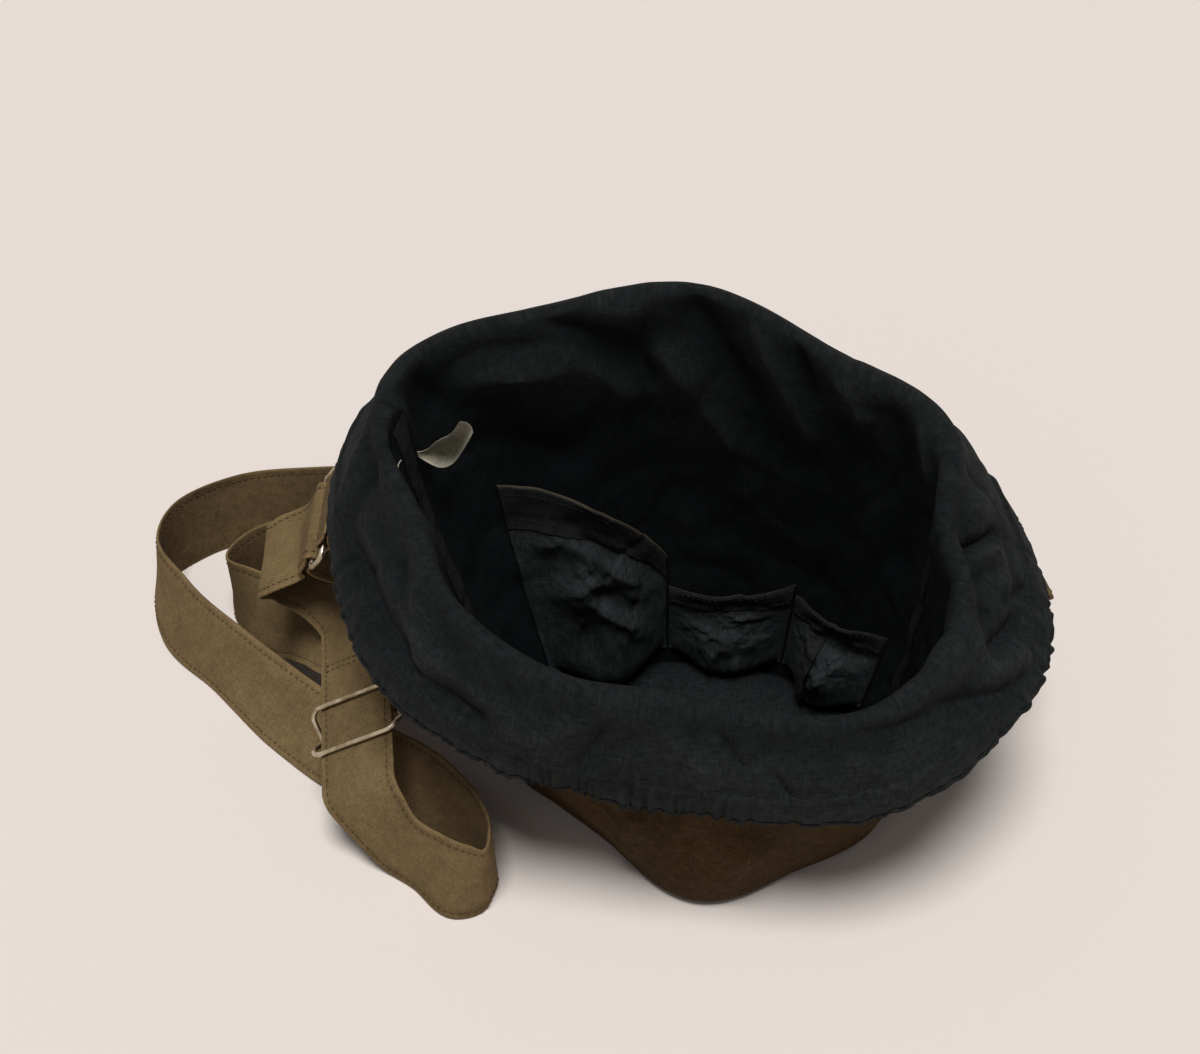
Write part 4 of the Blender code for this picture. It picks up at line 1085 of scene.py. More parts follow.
def pocket_place(share, climb, spec):
    """Angles and profile times of a pocket's own shares across and up."""
    first, last, low, high, arch = spec[:5]
    angles = first + (last - first) * share
    top = low + (high - low) * share ** 0.75 + arch * np.sin(np.pi * share)
    lengths = (POCKET_FOOT + (top - POCKET_FOOT)[:, None] * climb[None, :]) * MM
    return angles, time_of_length(angles, lengths)


for pocket, spec in POCKETS.items():
    print(pocket, "pocket from", spec[0], "to", spec[1], "degrees")

# %% [markdown]
# ## Pocket sheets, hems and piping
# A pocket's top is turned over as a hem with two rows of stitches, and a cord is sewn along its edge. All of
# them are taken from rows of the pocket's own grid, so they bulge and gape with it.

# %% Pocket sheets, hems and piping
POCKET_THICKNESS = 0.9 * MM
BAND_ROW, BAND_OFF, BAND_PLUMP = 70, 1.25 * MM, 1.1 * MM
BAND_STITCH_ROWS = (74, 86)
PIPING_RADIUS = 0.75 * MM


def tube_rings(path, side, up, radius, turn):
    """Circles of points round a path, with one point at each turn from the side towards the up direction."""
    circle = side[:, None] * np.cos(turn)[None, :, None] + up[:, None] * np.sin(turn)[None, :, None]
    return path[:, None] + radius * circle


def make_pocket(name, spec, seed):
    """The pocket's sheet, the hem band over its top, the piping on its edge and two rows of stitches."""
    share = np.linspace(0.0, 1.0, 120)
    climb = np.linspace(0.0, 1.0, 90)
    angles, time = pocket_place(share, climb, spec)
    grid = (share[:, None], climb[None, :])
    off = pocket_depth(name, *grid, seed)
    near = LINING_FAR + off
    uv = cloth_uv(angles, time)
    # painted light: a high attribute keeps the pockets pale where light falls on them
    wear_and_painted_light = np.clip(0.95 + 0.25 * seeded_noise(share[:, None], 8.0 * climb[None, :], 8, seed + 4), 0, 1)
    sheet = cloth_slab("cotton_pocket_" + name, pocket_cloth(angles, time, near, *grid),
                       pocket_cloth(angles, time, near + POCKET_THICKNESS, *grid), uv, wear_and_painted_light, POCKET_COTTON_PAINTED_LIGHT)
    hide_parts("pocket_" + name)
    band = slice(BAND_ROW, None)
    face = near[:, band] + BAND_OFF
    arch = np.sin(np.pi * np.linspace(0.04, 0.96, len(climb) - BAND_ROW)) ** 0.5
    plump = BAND_PLUMP * (0.35 + 0.65 * arch)[None, :]
    hem = cloth_slab("pocket_band_" + name, cloth(angles, time[:, band], face),
                     cloth(angles, time[:, band], face + plump), uv[:, band], 0.3, BINDING)
    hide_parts("pocket_hem_" + name)
    top_time, top_off = time[:, -1:], near[:, -1:]
    edge = cloth(angles, top_time + 0.004, top_off + 0.6 * MM)[:, 0]
    forward = unit(np.gradient(edge, axis=0))
    out = -wall_normals(angles, top_time)[:, 0]
    side = unit(np.cross(forward, out))
    turn = np.linspace(0, 2 * np.pi, 10, endpoint=False)
    rings = tube_rings(edge, side, out, PIPING_RADIUS, turn)
    flat = uv_grid(angles[:, None] * DEGREE, turn[None] * MM)
    cord = swept_skin("pocket_piping_" + name, rings, flat, 0.6, PIPING if name == "left" else BINDING)
    rows = []
    for k, number in enumerate(BAND_STITCH_ROWS):
        row = slice(number - BAND_ROW, number - BAND_ROW + 1)
        depth = face[:, row] + plump[:, row] + 0.02 * MM
        path = cloth(angles, time[:, number:number + 1], depth)[:, 0]
        centre, ahead, where = even_places(path, 2.8 * MM)
        outward = square_to(points_along(where, share, out), ahead)
        rows.append(stitch_row(f"pocket_stitches_{name}_{k}", centre, ahead, outward, 1.9 * MM, 0.22 * MM,
                               BLACK_THREAD))
    slots = ["lining", "binding", "binding"] + ["binding"] * len(rows)
    for item, slot in zip([sheet, hem, cord] + rows, slots):
        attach(item, "bag")
    print(name, "pocket stands off up to", round(off.max() / MM, 1), "mm")


for (pocket, spec), seed in zip(POCKETS.items(), POCKET_SEEDS):
    make_pocket(pocket, spec, seed)

# %% [markdown]
# ## Pen loop
# A narrow strip is sewn to the front of the right pocket. It follows the pocket's own bulge and bows out
# from it a little in the middle, as a loop for a pen does.

# %% Pen loop on the right pocket
def make_pen_loop():
    """A strip over six degrees and 26 mm of the pocket's height, standing off it by a bow."""
    first, last, top = POCKETS["right"][:3]
    angles = np.linspace(44.0, 50.0, 14)
    lengths = np.linspace(26.0, 52.0, 50)
    share = ((angles - first) / (last - first))[:, None]
    climb = per_angle((lengths - POCKET_FOOT) / (top - POCKET_FOOT), angles)
    time = time_of_length(angles, lengths * MM)
    off = pocket_depth("right", share, climb, POCKET_SEEDS[2])
    bow = 1.6 * np.sin(np.pi * np.linspace(0, 1, len(lengths)))[None, :] * MM
    near = LINING_FAR + off + 1.5 * MM + bow
    item = cloth_slab("pen_loop", pocket_cloth(angles, time, near, share, climb),
                      pocket_cloth(angles, time, near + 1.2 * MM, share, climb),
                      cloth_uv(angles, time), 0.4, BINDING)
    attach(item, "bag")
    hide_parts("pocket_pen_loop")


make_pen_loop()
print("pen loop made")

# %% [markdown]
# ## Label
# A blank woven label is caught in the left seam by one edge. It has dried into a curl: along its length it
# bends up, and across it is bowed like a leaf. It turns about its sewn edge, so it rides on its own body.

# %% Blank label and a loose thread
LABEL_WIDTHS = (0.0, 0.2, 0.4, 0.6, 0.8, 1.0), (0.12, 0.36, 0.80, 0.95, 0.76, 0.70)
LABEL_EDGE = np.array([[43.0, 26.0]]) * MM
LABEL_REACH, LABEL_RISE, LABEL_BOW, LABEL_HALF = 25.0 * MM, 15.0, 4.0 * MM, 0.28 * MM
THREAD_RADIUS = 0.3 * MM


def make_label():
    """A bowed and twisted strip: its spine steps inward and dips, then lifts by a power of the way along. Its
    width follows a table, and it has a bow and a wave across."""
    angle = SEAM_LEFT - 1.3 * BINDING_HALF
    angles = np.array([angle, angle + 0.5])
    time = time_of_length(angles, crest_length(angles) - LABEL_EDGE)
    foot = (smooth_wall(angles, time) - wall_normals(angles, time) * (LINING_FAR + 1.6 * MM))[0]
    inward = -unit(wall_normals(angles, time)[0].mean(0))
    reach = np.linspace(0.0, 1.0, 40)
    width = np.linspace(0.0, 1.0, 28)
    rise = (LABEL_RISE * reach ** 2.6 - 4.0 * reach * (1 - reach)) * MM
    spine = inward * (reach * LABEL_REACH)[:, None] + np.array([0.0, 0.25, 1.0]) * rise[:, None]
    edge = foot[1] - foot[0]
    face = unit(np.cross(edge, inward))
    twist = 0.5 * reach ** 1.5
    side = edge * np.cos(twist)[:, None] - face * (np.linalg.norm(edge) * np.sin(twist))[:, None]
    narrow = np.interp(reach, *LABEL_WIDTHS)
    narrow = np.convolve(np.pad(narrow, 3, mode="edge"), np.full(7, 1 / 7), mode="valid")[:, None, None]
    grid = spine[:, None] + foot[0] + 0.5 * edge + side[:, None] * (width - 0.5)[None, :, None] * narrow
    across = (2 * width - 1)[None, :]
    bow = (1.0 - across ** 2) * np.sin(0.8 * np.pi * reach)[:, None] * LABEL_BOW
    wave = 0.7 * MM * np.sin(5 * reach)[:, None] * across
    grid = grid + face * (bow + wave)[..., None]
    wear_and_painted_light = np.clip(np.abs(across) ** 6 + reach[:, None] ** 8, 0, 1)
    uv = uv_grid(width[None, :] * 17 * MM, reach[:, None] * 24 * MM)
    item = cloth_slab("blank_label", grid - face * LABEL_HALF, grid + face * LABEL_HALF, uv, wear_and_painted_light, LABEL)
    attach(item, "label")
    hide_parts("label")


def make_loose_thread():
    """A short end of pale thread lying on the lining beside the seam: a thin tube along the cloth."""
    angles = np.linspace(160.2, 165.5, 24)
    lengths = crest_length(angles) - (21.0 - 4.0 * np.sin(np.linspace(0, 2.4, 24)))[:, None] * MM
    path = cloth(angles, time_of_length(angles, lengths), LINING_FAR + 0.35 * MM)[:, 0]
    forward = unit(np.gradient(path, axis=0))
    side = unit(np.cross(forward, np.array([0.0, 0.0, 1.0])))
    up = np.cross(side, forward)
    turn = np.linspace(0, 2 * np.pi, 8, endpoint=False)
    rings = tube_rings(path, side, up, THREAD_RADIUS, turn)
    uv = uv_grid(np.linspace(0, 9, 24)[:, None] * MM, turn[None] * THREAD_RADIUS)
    item = swept_skin("loose_thread", rings, uv, 0.5, LABEL)
    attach(item, "bag")


make_label()
make_loose_thread()
print("label and thread made")

# %% [markdown]
# ## Where the strap is fixed
# The strap hangs from a wire ring in a canvas tab under the left of the hem, and its other end is sewn under
# the hem at the right. These places and directions repeat the solids' own, because the ring turns about its
# eye.

# %% Tab, ring and anchor places
STRAP_WIDTH, STRAP_THICKNESS = 38.0 * MM, 2.2 * MM
WIRE_RADIUS, BAR_RADIUS = 1.5 * MM, 1.2 * MM
FRAME_WIDTH = 45.0 * MM
WIRE_SIDES = 18

tab_down = unit(np.array([-0.280879, 0.138351, -0.949719]))
ring_axis = unit(np.array([-0.088822, -0.935261, -0.342634]))
tab_top = np.array([-158.156, 52.511, 124.686]) * MM + tab_down * 1.2 * MM
ring_eye = tab_top + tab_down * 11.0 * MM
ring_lean = square_to((-0.45, 0.2, -0.85), ring_axis)
ring_low = ring_eye + ring_lean * 15.0 * MM
stem = square_to((-0.4, 0.45, -0.8), ring_axis)
stem_end = ring_low + stem * 14.0 * MM
slider_middle = np.array([-150.0, -9.0, 43.0]) * MM
slider_along = unit(np.array([-0.1, 0.97, 0.16]))
slider_across = square_to((0.87, 0.05, 0.49), slider_along)
slider_face = np.cross(slider_across, slider_along)
print("ring eye in mm:", np.round(ring_eye / MM, 1), "slider face:", np.round(slider_face, 2))

# %% [markdown]
# ## Wire ring, slider frame and bar
# Ring and slider are bent from brass wire. A wire is a circle carried along a closed path, a rectangle with
# rounded corners. The slider's short sides dip at mid-length to hold a straight bar under the strap.

# %% Wire pieces
def rounded_frame(middle, across, along, width, length, corner, dip=0.0, dip_way=None):
    """Closed path of a rectangle with round corners, in even steps; its short sides may dip in the middle."""
    turn = np.radians(np.linspace(0, 90, 15))[None, :] + np.radians(np.array([0, 90, 180, 270]))[:, None]
    sign = np.array([(1, 1), (-1, 1), (-1, -1), (1, -1)])
    x = sign[:, :1] * (width / 2 - corner) + corner * np.cos(turn)
    y = sign[:, 1:] * (length / 2 - corner) + corner * np.sin(turn)
    flat = np.stack([x.ravel(), y.ravel()], -1)
    flat = np.concatenate([flat, flat[:1]])
    lengths = path_lengths(flat)
    flat = points_along(np.linspace(0, lengths[-1], 241)[:-1], lengths, flat)
    path = middle + across * flat[:, :1] + along * flat[:, 1:]
    if dip_way is not None:
        sink = dip * np.exp(-(flat[:, 1:] / (0.26 * length)) ** 2) * (np.abs(flat[:, :1]) > 0.45 * width)
        path = path + dip_way * sink
    return path


def make_wire(name, path, radius, body, node):
    """Circle carried round a closed path, with one side always turned to the path's middle."""
    forward = unit(np.roll(path, -1, 0) - np.roll(path, 1, 0))
    side = square_to(path - path.mean(0), forward)
    turn = np.linspace(0, 2 * np.pi, WIRE_SIDES, endpoint=False)
    rings = tube_rings(path, side, np.cross(forward, side), radius, turn)
    uv = uv_grid(np.linspace(0, 0.12, len(path))[:, None], turn[None] * radius)
    item = swept_skin(name, rings, uv, 0.0, BRASS, closed=True)
    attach(item, body)
    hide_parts(node)
    return item


def make_bar():
    """Straight bar with domed ends: a circle whose radius shrinks over the last millimetre by a table."""
    half = FRAME_WIDTH / 2 - WIRE_RADIUS - 0.4 * MM
    inset, dome = np.array([0, 0.15, 0.5, 1.0]) * MM, np.array([0.35, 0.7, 0.92, 1])
    place = np.concatenate([inset - half, half - inset[::-1]])
    radius = BAR_RADIUS * np.concatenate([dome, dome[::-1]])
    turn = np.linspace(0, 2 * np.pi, WIRE_SIDES, endpoint=False)
    circle = slider_along * np.cos(turn)[:, None] + slider_face * np.sin(turn)[:, None]
    rings = bar_middle + slider_across * place[:, None, None] + circle[None] * radius[:, None, None]
    uv = uv_grid(place[:, None], turn[None] * BAR_RADIUS)
    item = swept_skin("slider_cross_bar", rings, uv, 0.0, BRASS)
    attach(item, "slider")
    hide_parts("slider_bar")


frame_lift = STRAP_THICKNESS / 2 + 0.4 * MM + WIRE_RADIUS
bar_drop = 1.5 * STRAP_THICKNESS + 0.9 * MM + BAR_RADIUS
bar_middle = slider_middle - slider_face * bar_drop
ring_path = rounded_frame((ring_eye + ring_low) / 2, ring_axis, -ring_lean, FRAME_WIDTH, 15 * MM, 3.2 * MM)
slider_path = rounded_frame(slider_middle + slider_face * frame_lift, slider_across, slider_along,
                            FRAME_WIDTH, 24 * MM, 5 * MM, frame_lift + bar_drop, -slider_face)
make_wire("wire_ring", ring_path, 0.85 * WIRE_RADIUS, "ring", "strap_ring")
make_wire("wire_slider", slider_path, 0.8 * WIRE_RADIUS, "slider", "slider_frame")
make_bar()
print("ring, slider and bar made")

# %% [markdown]
# ## A spline for the strap
# The strap's way is a spline through stations, each with the direction across the band. Blender's curves
# have a tilt for this, but it is hard to aim. Slopes at the stations weigh the chords before and after, so
# uneven steps don't overshoot. Where the band turns round a wire, a hairpin gives the stations.

# %% Spline, stations and hairpins
def spline(knots, per_span):
    """Curve through uneven knots: each span is a cubic between slopes that weigh the neighbour chords."""
    chord = np.linalg.norm(np.diff(knots[:, :3], axis=0), axis=1)[:, None]
    slope = np.diff(knots, axis=0) / chord
    inner = (chord[1:] * slope[:-1] + chord[:-1] * slope[1:]) / (chord[:-1] + chord[1:])
    ends = np.concatenate([slope[:1], inner, slope[-1:]])
    f = (np.arange(per_span) / per_span)[None, :, None]
    a, b = knots[:-1, None], knots[1:, None]
    m, n = (ends[:-1] * chord)[:, None], (ends[1:] * chord)[:, None]
    bend = a * (2 * f ** 3 - 3 * f ** 2 + 1) + b * (3 * f ** 2 - 2 * f ** 3)
    lean = m * (f ** 3 - 2 * f ** 2 + f) + n * (f ** 3 - f ** 2)
    return np.concatenate([(bend + lean).reshape(-1, knots.shape[1]), knots[-1:]])


def station(place, across):
    """Points and unit across directions side by side."""
    place, across = np.atleast_2d(place), np.atleast_2d(across)
    return np.concatenate(np.broadcast_arrays(place, unit(across)), 1)


def hairpin(eye, end, axis_way, radius, spread):
    """Points down one leg, round an eye and back up the other leg, as (side, up) pairs turned into space."""
    up = unit(end - eye)
    reach = np.linalg.norm(end - eye)
    turn = np.radians(np.linspace(150, 390, 13))
    flat = np.concatenate([[(-spread, reach), (-spread, reach * 0.5 + radius * 0.5)],
                           np.stack([radius * np.cos(turn), radius * np.sin(turn)], -1),
                           [(spread, reach * 0.5 + radius * 0.5), (spread, reach)]])
    return eye + np.cross(axis_way, up) * flat[:, :1] + up * flat[:, 1:]


print("spline ready")

# %% [markdown]
# ## The strap's way
# The strap is one long band: from its sewn end at the right of the hem it goes down, behind the bag, round a
# loop at the left, along the front of the heap, round a second loop, up through the slider, round the ring,
# and back to the slider's bar, where its end is sewn. A simulated ribbon would fall in its own way, so the
# stations were placed along what the photograph shows.

# %% Stations of the strap
# each row: a place in mm, and the direction across the band there
FAR_ROUTE = np.array([
    (158, 62, 72, -0.45, 0.6, 0.66), (146, 98, 42, -0.5, 0.2, 0.85), (112, 128, 24, -0.2, 0.0, 0.98),
    (52, 146, 21, 0.0, 0.15, 0.98), (-24, 154, 20, 0.0, 0.25, 0.96), (-100, 158, 20, 0.0, 0.33, 0.94),
    (-150, 160, 20, 0.0, 0.35, 0.94), (-192, 160, 20, 0.0, 0.35, 0.94), (-230, 154, 20, -0.05, 0.4, 0.92),
    (-257, 136, 20, -0.1, 0.25, 0.96), (-266, 112, 20, 0.15, 0.1, 0.98), (-252, 82, 19, 0.42, 0.3, 0.86),
    (-220, 49, 18, 0.45, 0.33, 0.83), (-188, 20, 13, 0.55, 0.5, 0.64), (-160, -1, 10.5, 0.6, 0.6, 0.5),
    (-130, -20, 15, 0.5, 0.5, 0.7), (-109, -36, 19, 0.25, 0.3, 0.92), (-93, -53, 20, 0.0, 0.2, 0.98),
    (-87, -66, 20, -0.05, 0.1, 0.98), (-90, -76, 20, 0.1, 0.2, 0.97), (-101, -77, 20, 0.2, 0.4, 0.9),
    (-118, -66, 21, 0.34, 0.12, 0.93), (-136, -53, 28, 0.7, -0.05, 0.7)], float)
RING_ROUTE = np.array([
    (-164, 60, 52, 0.7, 0.55, 0.4), (-177, 70, 53, 0.4, 0.85, 0.3), (-192, 73, 57, 0.1, 0.95, 0.25),
    (-199, 70, 65, 0.0, 0.97, 0.2), (-194, 65, 73, 0.0, 0.95, 0.3)], float)
RETURN_ROUTE = np.array([
    (-162, 71, 74, 0.0, 0.95, 0.3), (-150, 82, 73, 0.0, 0.95, 0.3), (-143, 97, 66, 0.1, 0.95, 0.3),
    (-150, 112, 52, 0.2, 0.8, 0.6), (-170, 121, 34, 0.0, 0.6, 0.8), (-194, 123, 22, 0.0, 0.4, 0.92),
    (-216, 114, 20, -0.1, 0.2, 0.97), (-226, 98, 20, 0.0, 0.1, 1.0), (-212, 84, 20, 0.35, 0.3, 0.9),
    (-188, 68, 24, 0.6, 0.4, 0.7), (-168, 50, 33, 0.75, 0.4, 0.5)], float)


def route(rows):
    """Stations in millimetres made metres."""
    return station(rows[:, :3] * MM, rows[:, 3:])


LEG_SPREAD = 1.3 * MM
RING_BEND = WIRE_RADIUS + 0.5 * MM + STRAP_THICKNESS / 2
BAR_BEND = 2.8 * MM
RUN_STEPS = np.array([-32, -24, -14, -4, 6, 16, 26, 36, 42, 48, 54]) * MM
anchor_down = unit(np.array([0.50557, 0.203085, -0.838544]))
anchor_way = np.array([-0.410849, 0.772959, 0.483465])
anchor = np.array([145.214, 37.359, 116.534]) * MM + anchor_down * 6.5 * MM
run_places = slider_middle + slider_along * RUN_STEPS[:, None]
leg_side = unit(np.cross(ring_axis, stem))
first_leg = stem_end + leg_side * math.copysign(LEG_SPREAD, -leg_side[0])
ring_turn = hairpin(ring_low, stem_end, ring_axis, RING_BEND, LEG_SPREAD)
if np.linalg.norm(ring_turn[0] - first_leg) > np.linalg.norm(ring_turn[-1] - first_leg):
    ring_turn = ring_turn[::-1]
loop_end = bar_middle + slider_along * 20 * MM - slider_face * 0.4 * BAR_BEND
bar_turn = hairpin(bar_middle, loop_end, slider_across, BAR_BEND, LEG_SPREAD)
if np.dot(bar_turn[0] - bar_turn[-1], slider_face) > 0:
    bar_turn = bar_turn[::-1]
strap_knots = np.concatenate([
    station(np.stack([anchor, anchor + anchor_down * 14 * MM]), anchor_way),
    route(FAR_ROUTE), station(run_places, slider_across), route(RING_ROUTE),
    station(np.stack([ring_turn[0] + stem * 8 * MM]), -ring_axis), station(ring_turn, -ring_axis),
    route(RETURN_ROUTE), station(loop_end + slider_along * 13 * MM, slider_across),
    station(bar_turn, slider_across)])
strap_curve = spline(strap_knots, 24)
strap_run = path_lengths(strap_curve[:, :3])
print("strap is", round(strap_run[-1], 3), "m long")

# %% [markdown]
# ## The strap's frames
# Along its way the band needs a forward, an across and a face direction at every step. It rests on the floor
# where it comes near to it, and its first end is tucked in under the cuff. Its cross-section is a flat oval
# with blunt edges and a shallow groove under each row of stitches.

# %% Frames, section and tuck of the strap
SIDES = 36
STRAP_STEP = 2.2 * MM
NOISE_RUN = 2.0
FLOOR_REST, FLOOR_REACH = -0.4 * MM, 5 * MM
TUCK_ANGLES, TUCK_TIME, TUCK_UNDER, TUCK_RUN = (6.0, 24.0), 8.7, 5.5 * MM, 34.0 * MM
SEAM_OFFSET = 15.9 * MM


def strap_frames(start, end):
    """Centre, forward, across and face at even steps between two lengths along the strap, which wanders a
    little sideways; where its lower edge is near the floor, it is let down on to it."""
    count = max(8, int(round((end - start) / STRAP_STEP)) + 1)
    stops = np.linspace(start, end, count)
    before, here, after = (points_along(np.clip(stops + k * MM, 0, strap_run[-1]), strap_run, strap_curve)
                           for k in (-0.4, 0.0, 0.4))
    forward = unit(after[:, :3] - before[:, :3])
    across = square_to(here[:, 3:], forward)
    face = np.cross(forward, across)
    wander = 0.5 * MM * seeded_noise(stops / NOISE_RUN, 3.0, 60, 31)
    centre = here[:, :3] + across * wander[:, None]
    half = np.abs(across[:, 2]) * STRAP_WIDTH / 2 + np.abs(face[:, 2]) * STRAP_THICKNESS / 2
    low = centre[:, 2] - half
    drop = FLOOR_REACH * np.tanh((low - FLOOR_REST) / FLOOR_REACH)
    centre[:, 2] -= drop * (1 - smooth_step(low, FLOOR_REACH, 12 * MM))
    return stops, centre, forward, across, face


def strap_section():
    """Places across and out of the face round the section: a blunt oval with a groove near each edge."""
    turn = np.linspace(0, 2 * np.pi, SIDES, endpoint=False) + np.pi / SIDES
    wide = np.sign(np.cos(turn)) * np.abs(np.cos(turn)) ** 0.55
    thick = np.sign(np.sin(turn)) * np.abs(np.sin(turn)) ** 0.42
    groove = 1 - 0.26 * np.exp(-((np.abs(wide) * STRAP_WIDTH / 2 - SEAM_OFFSET) / (1.1 * MM)) ** 2)
    return wide * STRAP_WIDTH / 2, thick * groove * STRAP_THICKNESS / 2


def tuck(stops, wide):
    """Shift that brings the strap's first end in under the cuff: to a line just above the hem on the cuff's
    underside, in full at the end itself and fading to nothing along the band."""
    _, centre, _, across, _ = strap_frames(0.0, TUCK_RUN)
    angles = np.interp(wide, (-STRAP_WIDTH / 2, STRAP_WIDTH / 2), TUCK_ANGLES)
    seat = smooth_wall(angles, [TUCK_TIME]) + wall_normals(angles, [TUCK_TIME]) * TUCK_UNDER
    shift = seat[:, 0] - centre[0] - across[0] * wide[:, None]
    return (1 - smooth_step(stops, 0.0, TUCK_RUN))[:, None, None] * shift[None]


print("strap section has", SIDES, "sides, and its first", round(TUCK_RUN / MM), "mm are tucked in")

# %% [markdown]
# ## The strap's cloth
# The band is folded canvas, 38 mm wide and edge-stitched. Use has creased and rubbed it, and its edges are
# paler. The faces that look out of the heap are paler than those that look into it, and the run at the right
# is darker, as painted shade. This could be painted by hand, but here the same arrays that shape the band
# also say where it is paler or darker.

# %% Strap bands with their edge stitches
STITCH_PITCH, STITCH_LENGTH, STITCH_RADIUS = 3.4 * MM, 2.5 * MM, 0.27 * MM
HEAP_MIDDLE, HEAP_RISE = np.array([-0.195, 0.055]), 0.04


def face_lift(stops, wide):
    """How far the band stands off its way, in metres: seeded creases, and edges that bow to and fro."""
    crease = 0.45 * MM * seeded_noise((stops / NOISE_RUN)[:, None], wide[None] / (11 * MM) + 9, 110, 32)
    bow = 0.5 * MM * np.sin(stops * 46.0)[:, None] * (2 * np.abs(wide) / STRAP_WIDTH)[None] ** 2
    return crease + bow


def strap_wear_and_painted_shade(stops, centre, face, wide, thick):
    """Wear and painted shade of the band: wear on its edges and in rubbed places; paler on the face that
    looks out of the heap than on the one that looks into it; and darker on the run at the right, as painted
    shade."""
    share = (stops / NOISE_RUN)[:, None]
    edge = np.clip((np.abs(wide) - 17.2 * MM) / (1.6 * MM), 0, 1)[None]
    edge = edge * (0.55 + 0.45 * seeded_noise(share, 1.0, 90, 33))
    rub = 0.25 * np.clip(seeded_noise(share, wide[None] / (9 * MM) + 20, 80, 34), -1, 1)
    outward = np.full(centre.shape, HEAP_RISE)
    outward[:, :2] = centre[:, :2] - HEAP_MIDDLE
    look = np.sum(face * unit(outward), -1)[:, None] * (2 * thick / STRAP_THICKNESS)[None]
    # paler on faces that look out of the heap; darker on the run at the right, as painted shade
    shown_and_painted_shade = (0.36 + 0.36 * np.tanh(3 * look)) * (1 - 0.7 * smooth_step(centre[:, :1], 0.02, 0.12))
    return np.clip(edge + rub + shown_and_painted_shade, 0, 1)


def make_strap(name, start, end, material):
    """One stretch of the band, the section carried along the way, and its four rows of edge stitches."""
    stops, centre, _, across, face = strap_frames(start, end)
    wide, thick = strap_section()
    rings = centre[:, None] + across[:, None] * wide[None, :, None] + tuck(stops, wide)
    rings = rings + face[:, None] * (thick[None] + face_lift(stops, wide))[..., None]
    uv = uv_grid(wide[None], stops[:, None])
    band = swept_skin(name, rings, uv, strap_wear_and_painted_shade(stops, centre, face, wide, thick), material)
    rows = []
    for edge, side in ((-1, -1), (-1, 1), (1, -1), (1, 1)):
        offset = np.array([edge * SEAM_OFFSET])
        height = side * 0.80 * STRAP_THICKNESS / 2 + face_lift(stops, offset)
        path = centre + across * offset + face * height + tuck(stops, offset)[:, 0]
        spot, ahead, share = even_places(path, STITCH_PITCH)
        out = side * points_along(share, np.linspace(0, 1, len(stops)), face)
        rows.append((spot, ahead, square_to(out, ahead)))
    spot, ahead, out = (np.concatenate(column) for column in zip(*rows))
    seam = stitch_row(name + "_stitches", spot, ahead, out, STITCH_LENGTH, STITCH_RADIUS, THREAD)
    print(name, round(end - start, 3), "m,", len(spot), "stitches")
    return band, seam


print("strap maker ready")

# %% [markdown]
# ## Four stretches
# The ring swings and the slider slides, but the rest of the strap lies still. The band is made in four pieces
# that meet end to end: the two stretches that lie still ride on the bag, and the two that cross a moving part
# are left on no body here. At the limit of the swing the stretch through the ring is still wrenched open at
# one edge, where it meets the way back.

# %% The four stretches of the strap
def run_at(point):
    """Length along the strap of the place that is nearest to a point."""
    return strap_run[np.argmin(np.linalg.norm(strap_curve[:, :3] - np.asarray(point), axis=1))]


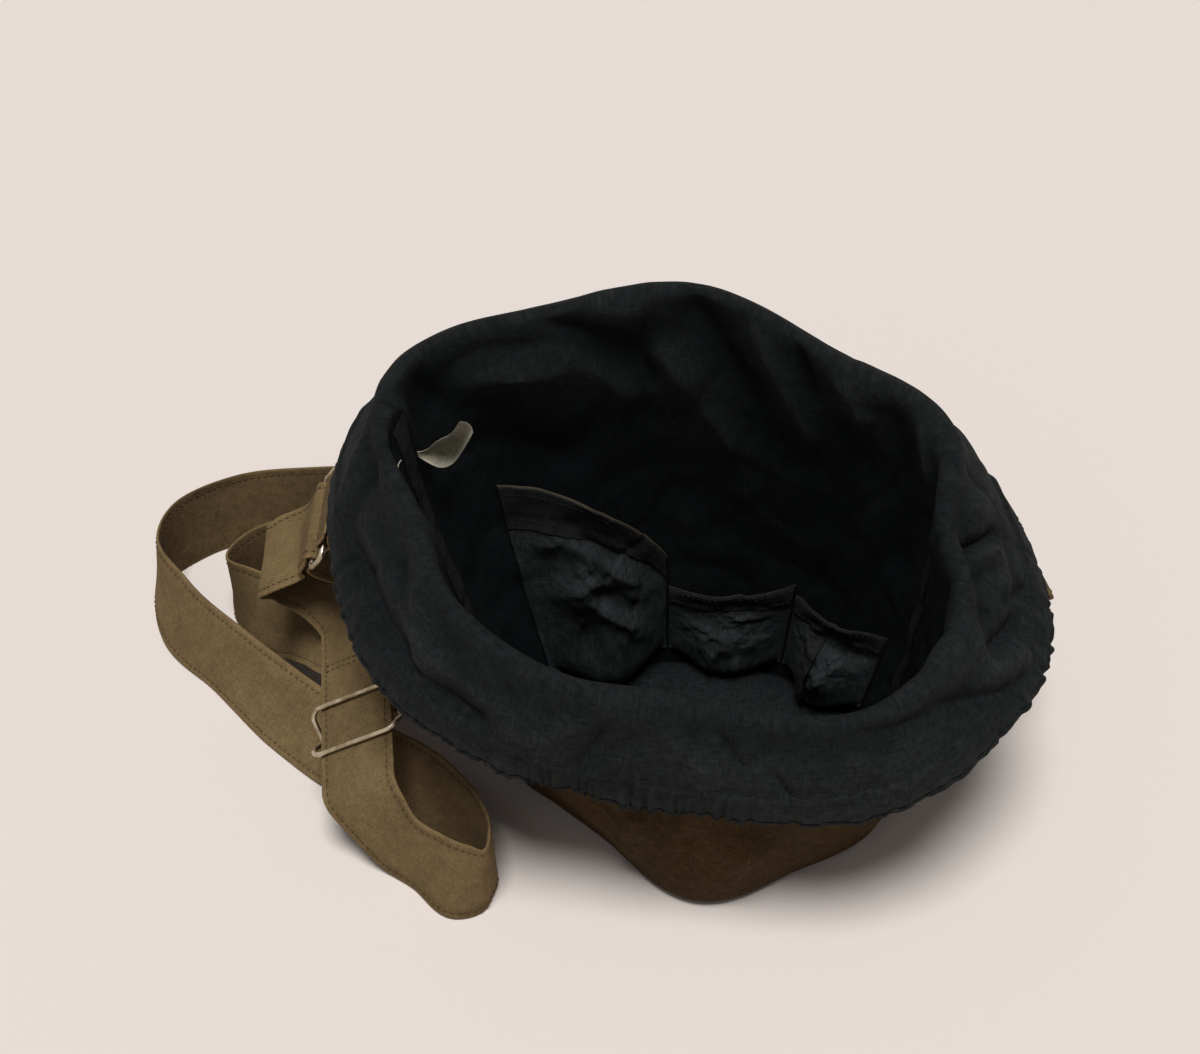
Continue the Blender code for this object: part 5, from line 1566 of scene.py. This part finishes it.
ring_from = run_at(RING_ROUTE[3, :3] * MM)
ring_to = run_at(RETURN_ROUTE[2, :3] * MM)
sewn_from = run_at(RETURN_ROUTE[8, :3] * MM)
for item in make_strap("strap_band", 0.0, ring_from, STRAP):
    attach(item, "bag")
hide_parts("strap_back_run", "strap_back_loop", "strap_main_band",
            "strap_front_band", "strap_slider_run", "strap_ring_run")
for item in make_strap("strap_through_ring", ring_from, ring_to, STRAP):
    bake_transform(item)
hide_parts("strap_ring_loop")
for item in make_strap("strap_way_back", ring_to, sewn_from, STRAP):
    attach(item, "bag")
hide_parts("strap_return_run")
for item in make_strap("strap_sewn_end", sewn_from, strap_run[-1], STRAP):
    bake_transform(item)
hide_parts("strap_end_loop")

# %% [markdown]
# ## Tab and cross stitching
# The tab is a folded strip of canvas that holds the ring under the hem. Across the strap, on the far side of
# the slider, runs a double row of stitches.

# %% Tab and cross rows
TAB_WIDTH, TAB_THICKNESS = 35.0 * MM, 1.6 * MM
CROSS_ROWS = (31.0 * MM, 34.0 * MM)


def make_tab():
    """The strap's section, smaller, carried down from the hem, round the ring's top wire and back up."""
    path = spline(hairpin(ring_eye, tab_top, ring_axis, WIRE_RADIUS + 1.3 * MM, 1.0 * MM), 6)
    forward = unit(np.gradient(path, axis=0))
    face = np.cross(forward, ring_axis)
    wide, thick = strap_section()
    rings = path[:, None] + ring_axis * (wide * TAB_WIDTH / STRAP_WIDTH)[None, :, None]
    rings = rings + face[:, None] * (thick * TAB_THICKNESS / STRAP_THICKNESS)[None, :, None]
    uv = uv_grid(wide[None], np.linspace(0, 0.03, len(path))[:, None])
    wear_and_painted_light = np.clip((np.abs(wide) - 17.0 * MM) / (1.6 * MM), 0, 1)[None]
    item = swept_skin("ring_tab", rings, uv, wear_and_painted_light, STRAP)
    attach(item, "bag")
    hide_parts("strap_tab")


def make_cross_rows():
    """Two rows of stitches across the upper face of the run, 31 and 34 mm past the slider's middle."""
    row = slider_middle + slider_across * (np.linspace(-15.0, 15.0, 11) * MM)[:, None]
    row = row + slider_face * 0.5 * STRAP_THICKNESS
    spot = np.concatenate([row + slider_along * step for step in CROSS_ROWS])
    ahead = np.broadcast_to(slider_across, spot.shape)
    out = np.broadcast_to(slider_face, spot.shape)
    item = stitch_row("strap_cross_stitches", spot, ahead, out, 2.4 * MM, 0.3 * MM, THREAD)
    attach(item, "bag")


make_tab()
make_cross_rows()
print("tab and cross stitches made")
